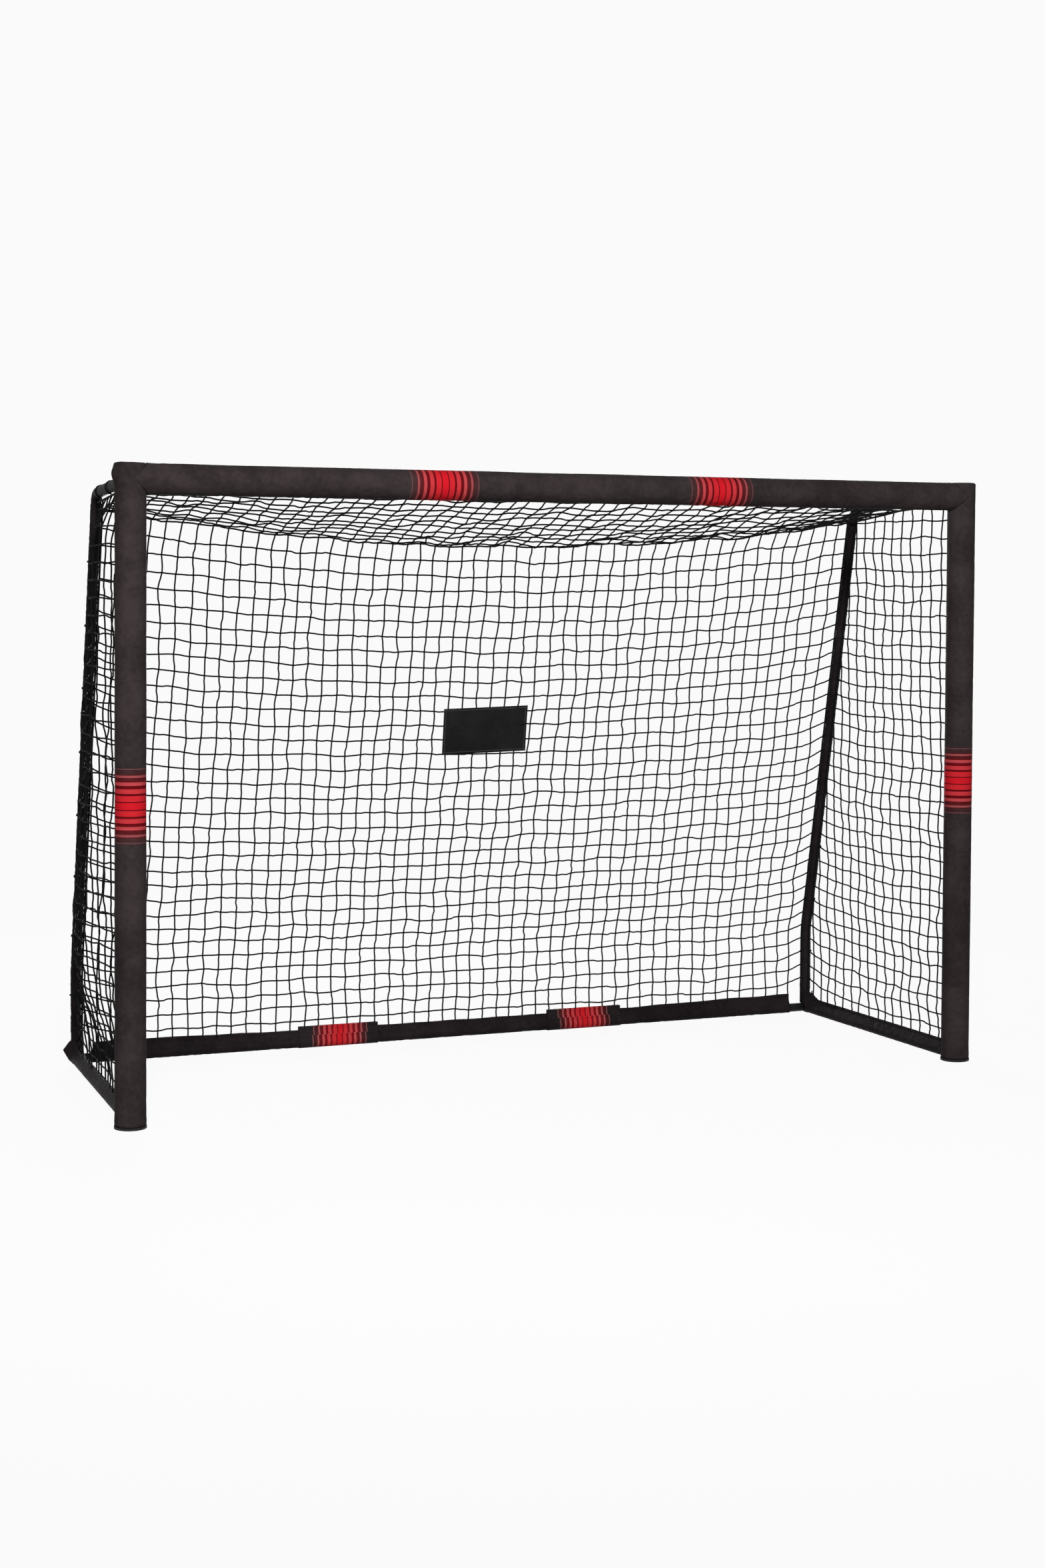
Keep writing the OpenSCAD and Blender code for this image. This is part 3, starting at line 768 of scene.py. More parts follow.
def stitch_group() -> None:
    """A row of stitches along a line of the cloth."""
    g, given, out = new_group(
        "stitches",
        {"Across": ("Float", 0.0), "Along": ("Float", 0.0), "Pitch": ("Float", 0.0045),
         "Width": ("Float", 0.0009)},
        ["Thread", "Dip"])
    beat = g.math("FRACT", g.math("DIVIDE", given["Along"], given["Pitch"]))
    shown = g.step(g.math("ABSOLUTE", g.math("SUBTRACT", beat, 0.5)), 0.34, 0.4, 1.0, 0.0)
    away = g.math("DIVIDE", g.math("ABSOLUTE", given["Across"]), given["Width"])
    g.put(out["Thread"], g.times(shown, g.step(away, 0.35, 0.75, 1.0, 0.0)))
    g.put(out["Dip"], g.step(away, 0.5, 3.0))


def twist_group() -> None:
    """The slanting strands of a twisted cord."""
    g, given, out = new_group("twist", {"Vector": ("Vector", 0.0), "Pitch": ("Float", 0.004),
                                        "Girth": ("Float", 0.0088)}, ["Height"])
    parts = g.add("SeparateXYZ", {0: given["Vector"]})
    along = g.math("DIVIDE", parts.outputs[1], given["Pitch"])
    round_it = g.math("DIVIDE", parts.outputs[0], given["Girth"])
    turn = g.times(g.math("ADD", along, round_it), math.tau)
    g.put(out["Height"], g.math("ABSOLUTE", g.math("SINE", turn)))


class Look:
    """A material in the making: a Principled shader and the graph that feeds it."""

    def __init__(self, name: str, **constants: Value) -> None:
        """Starts a material.

        Args:
            name: the material's name.
            constants: values of the shader's own sockets, with _ for each space.
        """
        self.material = bpy.data.materials.new(name)
        self.material.use_nodes = True
        self.graph = Graph(self.material.node_tree)
        self.shader = self.material.node_tree.nodes["Principled BSDF"]
        for title, value in constants.items():
            self.graph.put(self.shader.inputs[title.replace("_", " ")], value)

    def cloth_map(self) -> Socket:
        """The piece's own map, in metres across and along."""
        return self.graph.add("UVMap", uv_map=CLOTH_UV).outputs[0]

    def place(self) -> Socket:
        """Place on the object, in metres."""
        return self.graph.add("TexCoord").outputs["Object"]

    def feed(self, socket: str, value: Value) -> None:
        """Feeds one of the shader's sockets."""
        self.graph.put(self.shader.inputs[socket], value)

    def mottle(self, size: float, roughness: Pair) -> Socket:
        """Unevenness in patches of a size, which the roughness follows."""
        value = self.graph.group("mottle", {"Vector": self.place(), "Size": size}).outputs[0]
        self.feed("Roughness", self.graph.step(value, *SPREAD, *roughness))
        return value

    def bump(self, layers: Sequence[tuple[Socket, float]]) -> None:
        """Feeds the shader's normal from several heights.

        Args:
            layers: each a height and how far in metres it stands out.
        """
        normal: Optional[Socket] = None
        for height, distance in layers:
            node = self.graph.add("Bump", {"Height": height, "Strength": 1.0, "Distance": distance})
            if normal is not None:
                self.graph.put(node.inputs["Normal"], normal)
            normal = node.outputs[0]
        self.feed("Normal", normal)


# ---- finishes


@dataclass(frozen=True)
class CoatedCloth:
    """Woven cloth with a soft coating: its colours, its thread and its gloss."""

    name: str
    dark: Colour = (0.0215, 0.0164, 0.0170)
    light: Colour = (0.0425, 0.0330, 0.0340)
    gloss: float = 0.004
    pitch: float = 0.0008
    roughness: Pair = (0.42, 0.54)
    thread: float = 0.00006
    dent: float = 0.0006
    crease: float = 0.00022

    def start(self) -> tuple[Look, Socket]:
        """Starts the material.

        Returns:
            The look and the cloth's colour, in patches and with painted shade where the weave's threads dip,
            on which a print can be laid.
        """
        look = Look(self.name, Specular_IOR_Level=self.gloss)
        g, mottle = look.graph, look.mottle(0.11, self.roughness)
        weave = g.group("weave", {"Vector": look.cloth_map(), "Pitch": self.pitch})
        crease = g.group("crease", {"Vector": look.place(), "Size": 0.035}).outputs[0]
        # Patchy tone, times painted shade that darkens the colour where the weave's threads dip.
        tone_and_weave_shade = g.times(g.step(mottle, *SPREAD), weave.outputs["Shade"])
        look.bump([(weave.outputs["Height"], self.thread), (mottle, self.dent), (crease, self.crease)])
        return look, g.blend(tone_and_weave_shade, self.dark, self.light)

    def plain(self) -> Material:
        """Builds the cloth without a print.

        Returns:
            The material.
        """
        look, own = self.start()
        look.feed("Base Color", own)
        return look.material


@dataclass(frozen=True)
class RingPrint:
    """Red rings printed on a pad's cover, in bands along one of its axes."""

    cloth: CoatedCloth
    axis: int
    middle: float
    centre: Optional[float] = None
    inner: Colour = (0.520, 0.010, 0.018)
    outer: Colour = (0.300, 0.105, 0.110)
    gap: Colour = (0.120, 0.0020, 0.0045)

    def material(self) -> Material:
        """Builds the printed cloth.

        Returns:
            The material.
        """
        look, own = self.cloth.start()
        g = look.graph
        at = g.add("SeparateXYZ", {0: look.place()}).outputs[self.axis]
        if self.centre is not None:
            at = g.math("ABSOLUTE", g.math("SUBTRACT", at, self.centre))
        marks = g.group("rings", {"Distance": g.math("SUBTRACT", at, self.middle)})
        outward = marks.outputs["Outward"]
        ink = g.blend(g.math("POWER", outward, 1.6), self.inner, self.outer)
        ground = g.blend(g.times(marks.outputs["Band"], 0.9), own, self.gap)
        shown = g.times(marks.outputs["Ring"], g.step(outward, 0.6, 1.1, 1.0, 0.22))
        look.feed("Base Color", g.blend(shown, ground, ink))
        return look.material


@dataclass(frozen=True)
class LinePrint:
    """A red zone with pale upright lines, printed on the wraps."""

    cloth: CoatedCloth
    middle: float
    half: float = 0.0785
    pitch: float = 0.0157
    wide: float = 0.0068
    narrow: float = 0.0016
    lap_z: float = 0.036
    lap_shift: float = 0.005
    inner: Colour = (0.500, 0.013, 0.018)
    outer: Colour = (0.320, 0.115, 0.115)
    gap: Colour = (0.180, 0.003, 0.007)

    def material(self) -> Material:
        """Builds the printed cloth.

        Returns:
            The material.
        """
        look, own = self.cloth.start()
        g = look.graph
        parts = g.add("SeparateXYZ", {0: look.place()})
        shift = g.times(g.math("GREATER_THAN", parts.outputs[2], self.lap_z), self.lap_shift)
        along = g.math("ADD", g.math("SUBTRACT", g.math("ABSOLUTE", parts.outputs[0]), self.middle), shift)
        marks = g.group("rings", {
            "Distance": along, "Pitch": self.pitch, "Count": self.half / self.pitch,
            "Wide": self.wide, "Narrow": self.narrow})
        outward = marks.outputs["Outward"]
        ink = g.blend(g.math("POWER", outward, 1.4), self.inner, self.outer)
        ground = g.blend(g.times(marks.outputs["Band"], 0.95), own, self.gap)
        shown = g.times(marks.outputs["Ring"], g.step(outward, 0.6, 1.2, 1.0, 0.35))
        look.feed("Base Color", g.blend(shown, ground, ink))
        return look.material


@dataclass(frozen=True)
class PowderCoat:
    """Black powder coat on steel tube."""

    name: str = "black_powder_coat"
    dark: Colour = (0.0065, 0.0065, 0.0070)
    light: Colour = (0.012, 0.012, 0.013)

    def material(self) -> Material:
        """Builds the finish.

        Returns:
            The material.
        """
        look = Look(self.name, Specular_IOR_Level=0.08)
        g, place = look.graph, look.place()
        mottle = look.mottle(0.05, (0.30, 0.42))
        peel = g.add("TexNoise", {"Vector": place, "Scale": 900.0, "Detail": 1.0}).outputs[0]
        look.feed("Base Color", g.blend(g.step(mottle, *SPREAD), self.dark, self.light))
        look.bump([(peel, 0.00012)])
        return look.material


@dataclass(frozen=True)
class SpringSteel:
    """Bright drawn steel of the snap buttons and their springs."""

    name: str = "bright_spring_steel"
    dark: Colour = (0.50, 0.51, 0.53)
    light: Colour = (0.64, 0.65, 0.67)

    def material(self) -> Material:
        """Builds the finish.

        Returns:
            The material.
        """
        look = Look(self.name, Metallic=1.0, Anisotropic=0.3)
        g, place = look.graph, look.place()
        mottle = look.mottle(0.006, (0.22, 0.38))
        drawn = g.add("TexNoise", {"Vector": place, "Scale": 2500.0, "Detail": 2.0}).outputs[0]
        look.feed("Base Color", g.blend(g.step(mottle, *SPREAD), self.dark, self.light))
        look.bump([(drawn, 0.00002)])
        return look.material


@dataclass(frozen=True)
class MouldedPlastic:
    """Fine-grained black plastic of the foot caps, scuffed where it meets the ground."""

    name: str = "moulded_black_plastic"
    own: Colour = (0.012, 0.011, 0.012)
    scuffed: Colour = (0.040, 0.038, 0.036)
    scuff_z: float = 0.0035

    def material(self) -> Material:
        """Builds the finish.

        Returns:
            The material.
        """
        look = Look(self.name, Specular_IOR_Level=0.15)
        g, place = look.graph, look.place()
        mottle = look.mottle(0.02, (0.48, 0.62))
        grain = g.add("TexVoronoi", {"Vector": place, "Scale": 1400.0}).outputs["Distance"]
        height = g.add("SeparateXYZ", {0: place}).outputs[2]
        scuff = g.times(g.step(height, 0.0, self.scuff_z, 1.0, 0.0), g.step(mottle, 0.42, 0.62))
        look.feed("Base Color", g.blend(scuff, self.own, self.scuffed))
        look.bump([(grain, 0.00006)])
        return look.material


@dataclass(frozen=True)
class ClosedFoam:
    """Grey closed-cell foam."""

    name: str = "closed_cell_foam"
    dark: Colour = (0.105, 0.105, 0.110)
    light: Colour = (0.165, 0.165, 0.170)

    def material(self) -> Material:
        """Builds the finish.

        Returns:
            The material.
        """
        look = Look(self.name, Specular_IOR_Level=0.2)
        g, place = look.graph, look.place()
        mottle = look.mottle(0.03, (0.85, 0.95))
        cells = g.add("TexVoronoi", {"Vector": place, "Scale": 650.0}).outputs["Distance"]
        look.feed("Base Color", g.blend(g.step(cells, 0.0, 0.9), self.dark, self.light))
        look.bump([(cells, 0.0004), (mottle, 0.0008)])
        return look.material


@dataclass(frozen=True)
class HookTape:
    """Black hook-and-loop tape with a sewn edge."""

    name: str = "hook_and_loop_tape"
    width: float = 0.025
    margin: float = 0.0025
    dark: Colour = (0.008, 0.008, 0.008)
    light: Colour = (0.022, 0.021, 0.021)
    thread: Colour = (0.032, 0.031, 0.030)

    def material(self) -> Material:
        """Builds the finish.

        Returns:
            The material.
        """
        look = Look(self.name, Sheen_Weight=0.4, Sheen_Roughness=0.6)
        g, cloth = look.graph, look.cloth_map()
        parts = g.add("SeparateXYZ", {0: cloth})
        off_middle = g.math("ABSOLUTE", g.math("SUBTRACT", parts.outputs[0], self.width / 2))
        off_seam = g.math("SUBTRACT", off_middle, self.width / 2 - self.margin)
        seam = g.group("stitches", {"Across": off_seam, "Along": parts.outputs[1]})
        loops = g.add("TexVoronoi", {"Vector": cloth, "Scale": 900.0}).outputs["Distance"]
        fuzz = g.times(loops, seam.outputs["Dip"])
        own = g.blend(g.step(loops, 0.1, 0.8), self.dark, self.light)
        look.feed("Base Color", g.blend(seam.outputs["Thread"], own, self.thread))
        look.feed("Roughness", g.step(loops, 0.1, 0.8, 0.75, 0.95))
        look.bump([(fuzz, 0.0005), (seam.outputs["Thread"], 0.0004)])
        return look.material


@dataclass(frozen=True)
class TwistedCord:
    """Black twisted cord of the net."""

    name: str = "black_net_cord"
    # gap is painted shade: the colour of the grooves between the strands.
    gap: Colour = (0.001, 0.001, 0.001)
    dark: Colour = (0.0022, 0.0022, 0.0022)
    light: Colour = (0.0055, 0.0053, 0.0053)

    def material(self) -> Material:
        """Builds the finish.

        Returns:
            The material.
        """
        look = Look(self.name, Specular_IOR_Level=0.08)
        g = look.graph
        strands = g.group("twist", {"Vector": look.cloth_map()}).outputs[0]
        mottle = look.mottle(0.08, (0.62, 0.8))
        own = g.blend(g.step(mottle, *SPREAD), self.dark, self.light)
        # The colour falls to gap in the grooves between the strands, where the bump dips: painted shade.
        look.feed("Base Color", g.blend(g.step(strands, 0.0, 0.6), self.gap, own))
        look.bump([(strands, 0.0004)])
        return look.material


@dataclass(frozen=True)
class PatchCloth:
    """Dark woven patch with a stitched border."""

    width: float
    height: float
    name: str = "woven_patch"
    border: float = 0.006
    thread: Colour = (0.075, 0.074, 0.072)

    def material(self) -> Material:
        """Builds the finish.

        Returns:
            The material.
        """
        look, own = CoatedCloth(self.name, (0.0090, 0.0085, 0.0088), (0.0170, 0.0160, 0.0165),
                                gloss=0.030, pitch=0.0007).start()
        g = look.graph
        parts = g.add("SeparateXYZ", {0: look.cloth_map()})
        threads = []
        for axis, other, size in ((0, 1, self.width), (1, 0, self.height)):
            middle = g.math("ABSOLUTE", g.math("SUBTRACT", parts.outputs[axis], size / 2))
            off = g.math("SUBTRACT", middle, size / 2 - self.border)
            seam = g.group("stitches", {"Across": off, "Along": parts.outputs[other], "Width": 0.0011})
            threads.append(seam.outputs["Thread"])
        thread = g.math("MAXIMUM", *threads)
        look.feed("Base Color", g.blend(thread, own, self.thread))
        return look.material


# ---- padded posts and crossbar


@dataclass
class PostCover:
    """The sewn cover of one post: a tube of cloth with a soft lid on top."""

    goal: GoalSizes
    side: Side
    finish: Material
    wall: float = 0.001
    columns: int = 84
    spacing: float = 0.0062
    lid_rings: int = 9
    rim: float = 0.005
    lid_rise: Pair = (0.0010, 0.0005)
    lid_bow: float = 0.001
    folds: Waves = Waves(0.034, slant=42.0, spread=28.0, sharp=0.45, rise=0.00028)
    drift: Waves = Waves(0.30, slant=30.0, spread=60.0, rise=0.00035)
    crumple: Waves = Waves(0.034, slant=60.0, spread=50.0, sharp=0.4)
    crumple_rise: Pair = (0.0011, 0.0006)
    crumple_reach: float = 0.045
    hem: Ridge = Ridge(0.012, 0.008, 0.0006)
    swell: Ridge = Ridge(0.026, 0.020, 0.0075)

    def profile(self) -> Array:
        """Draws the cover's outline.

        Returns:
            Radius and height of each ring, from the foot up over the rim to the lid's middle.
        """
        rise = self.lid_rise[self.side.number] - self.lid_bow
        r, low, top = self.goal.pad_r, self.goal.foot_z + 0.0004, self.goal.top_z + rise
        wall = [(r, z) for z in np.arange(low, top - self.rim, self.spacing)]
        turn = np.linspace(0.0, math.pi / 2, 6)
        rim = [(r - self.rim + self.rim * math.cos(t), top - self.rim + self.rim * math.sin(t)) for t in turn]
        lid = [(q, top + self.lid_bow * (1 - (q / r) ** 2))
               for q in np.linspace(r - self.rim, 0.0012, self.lid_rings)[1:]]
        return np.array(wall + rim + lid)

    def cloth(self) -> Cloth:
        """Lays the cloth, with its folds and the crumple at its top.

        Returns:
            The cover's cloth without its openings.
        """
        goal, profile = self.goal, self.profile()
        foot = goal.post_at(self.side, 0.0)
        turn = math.tau * np.arange(self.columns) / self.columns
        ring = np.stack([np.cos(turn), np.sin(turn), np.zeros_like(turn)], axis=1)
        rows = foot + profile[:, 0, None, None] * ring[None] + profile[:, 1, None, None] * Z
        spine = foot + profile[:, 1, None] * Z
        spine[-self.lid_rings:, 2] -= 0.05
        cloth = Cloth(rows, spine)
        z, number = rows[..., 2], self.side.number
        from_top, seed = goal.top_z - z, 11 + number
        height = (self.folds.height(rows, Z, seed) + self.drift.height(rows, Z, seed + 20)
                  + fade(from_top, self.crumple_reach) * self.crumple_rise[number]
                  * self.crumple.height(rows, Z, seed + 40)
                  + self.hem.height(z - goal.foot_z))
        if self.side is Side.LEFT:
            outward = ease(((foot[0] - rows[..., 0]) / goal.pad_r - 0.1) / 0.9)
            height = height + outward * self.swell.height(from_top)
        cloth.push(height)
        return cloth

    def openings(self) -> list[Hole]:
        """Where the frame passes through: the crossbar, the stay's arm and the side rail."""
        goal, inward = self.goal, -self.side.value * X
        top, foot = goal.post_at(self.side, goal.bar_z), goal.post_at(self.side, goal.rail_z)
        return [Hole(top, inward, 0.020), Hole(top, Y, goal.rail_r + 0.0008),
                Hole(foot, Y, goal.rail_r + 0.0012)]

    def build(self) -> None:
        """Makes the cover."""
        cloth = self.cloth()
        cloth.holes = self.openings()
        name = f"{self.side.word}_post_cover"
        piece = cloth.build(name + "_cloth", self.wall)
        dress(piece, self.finish, Slot.PAD, name)


@dataclass
class CrossbarCover:
    """The sewn cover of the crossbar, whose ends are cut to fit round the posts."""

    goal: GoalSizes
    finish: Material
    wall: float = 0.001
    columns: int = 84
    rows: int = 361
    gap: float = 0.0006
    folds: Waves = Waves(0.020, slant=50.0, spread=16.0, sharp=0.55)
    low_folds: float = 0.00085
    all_folds: float = 0.00030
    drift: Waves = Waves(0.26, slant=30.0, spread=60.0, rise=0.0005)
    crumple: Waves = Waves(0.024, slant=50.0, spread=40.0, sharp=0.6, rise=0.0014)
    crumple_reach: float = 0.06
    turned: Ridge = Ridge(0.0, 0.006, 0.0007)

    def cloth(self) -> Cloth:
        """Lays the cloth, with its slanting folds and turned ends.

        Returns:
            The cover's cloth without its openings.
        """
        goal = self.goal
        turn = math.tau * (np.arange(self.columns) + 0.5) / self.columns
        y, z = goal.pad_r * np.cos(turn), goal.pad_r * np.sin(turn)
        reach = goal.post_x - np.sqrt(np.maximum(goal.pad_r ** 2 - y ** 2, 0.0)) - self.gap
        share = np.linspace(-1.0, 1.0, self.rows)
        rows = np.stack([share[:, None] * reach[None, :],
                         np.broadcast_to(goal.front_y + y, (self.rows, self.columns)),
                         np.broadcast_to(goal.bar_z + z, (self.rows, self.columns))], axis=2)
        spine = np.stack([share * goal.post_x, np.full(self.rows, goal.front_y),
                          np.full(self.rows, goal.bar_z)], axis=1)
        cloth = Cloth(rows, spine)
        from_end = (1.0 - np.abs(share))[:, None] * reach[None, :]
        low = ease((0.2 - np.sin(turn)) / 0.9)[None, :]
        left_end = fade(rows[..., 0] + goal.post_x, self.crumple_reach)
        height = (self.low_folds * low * self.folds.height(rows, X, 31)
                  + self.all_folds * self.folds.height(rows, X, 32)
                  + self.drift.height(rows, X, 33)
                  + left_end * self.crumple.height(rows, X, 34)
                  + self.turned.height(from_end))
        cloth.push(height)
        return cloth

    def build(self) -> None:
        """Makes the cover."""
        cloth, goal = self.cloth(), self.goal
        for side in Side:
            cloth.holes.append(Hole(goal.post_at(side, goal.bar_z), Y, goal.rail_r + 0.0008))
        piece = cloth.build("crossbar_cover_cloth", self.wall)
        dress(piece, self.finish, Slot.PAD, "crossbar_cover")


@dataclass
class FoamSleeve:
    """A slit foam tube round a steel tube, made along Z and then laid along its own axis."""

    part: str
    low: Array
    high: Array
    goal: GoalSizes
    finish: Material
    notch: float = 0.0
    notch_half: float = 0.0165
    wall: float = 0.0202
    facets: int = 72
    slit: float = 0.0056

    def build(self) -> None:
        """Makes the sleeve by hand: a tube, its slit, a notch at the foot, its wall and soft edges."""
        run = self.high - self.low
        length, radius = float(np.linalg.norm(run)), self.goal.pad_r - 0.0015
        bpy.ops.object.select_all(action="DESELECT")
        bpy.ops.mesh.primitive_cylinder_add(vertices=self.facets, radius=radius, depth=length,
                                            end_fill_type="NOTHING", location=(0.0, 0.0, length / 2))
        piece = bpy.context.active_object
        piece.name = piece.data.name = self.part + "_foam_sleeve"
        bpy.ops.object.transform_apply(location=True, rotation=True, scale=True)
        bpy.ops.object.mode_set(mode="EDIT")
        bpy.ops.mesh.select_all(action="SELECT")
        if self.notch:
            bpy.ops.mesh.bisect(plane_co=(0.0, 0.0, self.notch), plane_no=(0.0, 0.0, 1.0))
        shape = bmesh.from_edit_mesh(piece.data)
        for face in shape.faces:
            middle = face.calc_center_median()
            slit = middle.y > 0 and abs(middle.x) < self.slit
            notch = middle.y > 0 and abs(middle.x) < self.notch_half and middle.z < self.notch
            face.select = slit or notch
        bmesh.update_edit_mesh(piece.data)
        bpy.ops.mesh.delete(type="FACE")
        bpy.ops.object.mode_set(mode="OBJECT")
        apply_modifier(piece, "SOLIDIFY", thickness=self.wall, offset=-1.0, use_even_offset=True)
        apply_modifier(piece, "BEVEL", width=0.0015, segments=2, limit_method="ANGLE",
                       angle_limit=math.radians(50.0))
        turn = Matrix.Identity(4)
        if abs(run[0]) > abs(run[2]):
            turn = Matrix.Rotation(math.pi / 2, 4, "Y")
        piece.data.transform(Matrix.Translation(Vector(self.low)) @ turn)
        piece.data.shade_smooth()
        dress(piece, self.finish, Slot.FOAM, self.part + "_foam")


# ---- stays and ground rails


@dataclass(frozen=True)
class StayShape:
    """The route of a stay: back from the top corner, round the bend, down and back, and upright."""

    goal: GoalSizes
    arm: float = 0.528
    drop: float = 0.018
    kink_z: float = 0.256
    bend_r: float = 0.045
    kink_r: float = 0.040

    def bend(self, side: Side) -> Array:
        """The sharp corner of the upper bend."""
        goal = self.goal
        return np.array([side.value * goal.rear_x, goal.front_y + self.arm, goal.bar_z - self.drop])

    def kink(self, side: Side) -> Array:
        """The sharp corner of the lower bend."""
        return self.goal.rear_at(side, self.kink_z)

    def run(self, side: Side, start: float, low: float) -> Array:
        """The stay's middle line.

        Args:
            side: which stay it is.
            start: distance of its first point from the top corner.
            low: height of its last point.

        Returns:
            The points of the line.
        """
        corner, bend = self.goal.post_at(side, self.goal.bar_z), self.bend(side)
        first = corner + unit(bend - corner) * start
        return rounded_run([first, bend, self.kink(side), self.goal.rear_at(side, low)],
                           [self.bend_r, self.kink_r])

    @property
    def lean(self) -> Array:
        """Direction of the leaning stretch, upwards."""
        return unit(self.bend(Side.RIGHT) - self.kink(Side.RIGHT))


@dataclass
class StaySleeve:
    """The thin cloth sleeve of a stay, closed by a lapped seam along its outer side."""

    goal: GoalSizes
    shape: StayShape
    side: Side
    finish: Material
    radius: float = 0.0141
    wall: float = 0.0011
    columns: int = 36
    spacing: float = 0.0042
    start_gap: float = 0.0016
    low: float = 0.047
    bunch: Waves = Waves(0.021, slant=0.0, spread=12.0, sharp=0.3)
    bunch_rise: float = 0.0006
    folds: Waves = Waves(0.034, slant=45.0, spread=35.0, sharp=0.5, rise=0.0007)
    ripples: Waves = Waves(0.012, slant=20.0, spread=40.0, sharp=0.4, rise=0.0004)
    lap_half: float = 0.0072
    lap_rise: float = 0.0011
    end_rise: float = 0.0003

    def cloth(self) -> Cloth:
        """Lays the cloth, with its lap, its ripples and the bunching inside the bends.

        Returns:
            The sleeve's cloth.
        """
        run = self.shape.run(self.side, self.goal.pad_r + self.start_gap, self.low)
        count = int(lengths(run)[-1] / self.spacing)
        run = resample(run, count)
        heading = unit(np.gradient(run, axis=0))
        inside = unit(np.cross(heading, X))
        across = np.cross(inside, heading)
        turn = math.tau * np.arange(self.columns) / self.columns
        rows, at = rings(run, self.radius, inside, across, turn), lengths(run)
        cloth = Cloth(rows, run)
        turning = np.linalg.norm(np.gradient(heading, axis=0), axis=1) / self.spacing
        bent = np.convolve(ease(turning / 12.0), np.ones(9) / 9, mode="same")[:, None]
        inner = ease((np.cos(turn) + 0.35) / 1.3)[None, :]
        bunch = self.bunch.height(at[:, None] * X, X, 55)[:, None]
        from_lap = np.abs((turn[None, :] - math.pi)) * self.radius
        lap = ease((self.lap_half - from_lap) / 0.0016) * self.lap_rise
        seed = 51 + self.side.number
        ends = fade(np.minimum(at, at[-1] - at)[:, None], 0.006) * self.end_rise
        height = (bent * inner * bunch * self.bunch_rise + self.folds.height(rows, Z, seed)
                  + self.ripples.height(rows, Z, seed + 7) + lap + ends)
        cloth.push(height)
        return cloth

    def build(self) -> None:
        """Makes the sleeve."""
        cloth = self.cloth()
        name = f"{self.side.word}_stay_sleeve"
        piece = cloth.build(name + "_cloth", self.wall)
        dress(piece, self.finish, Slot.RAIL, name)


def folded_outline(low_r: float, half_gap: float, top: float, press: float, count: int) -> Array:
    """Outline of cloth that goes under a rail and meets itself above it.

    Args:
        low_r: radius where it goes round the rail.
        half_gap: half the distance between its two edges at the top.
        top: height of the edges above the rail's axis.
        press: length over which the two layers are pressed together.
        count: how many points it has.

    Returns:
        Points across and up, from one top edge under the rail to the other.
    """
    foot = np.array([half_gap, top - press])
    reach = math.atan2(foot[1], foot[0]) - math.acos(min(1.0, low_r / float(np.linalg.norm(foot))))
    arc = np.linspace(reach, -math.pi / 2, 16)
    right = [[half_gap, top], foot.tolist()] + [[low_r * math.cos(a), low_r * math.sin(a)] for a in arc]
    left = [[-x, y] for x, y in reversed(right[:-1])]
    return resample(np.array(right + left), count)


def along_rear(goal: GoalSizes, x: Array, outline: Array) -> Cloth:
    """Cloth of one outline along the rear rail.

    Args:
        goal: the goal's sizes.
        x: where its rows lie.
        outline: its points across and up from the rail's axis.

    Returns:
        The cloth.
    """
    spine = np.array([0.0, goal.rear_y, goal.rail_z]) + x[:, None] * X
    rows = spine[:, None, :] + outline[None, :, 0, None] * Y + outline[None, :, 1, None] * Z
    return Cloth(rows, spine + 0.01 * Z, closed=False)


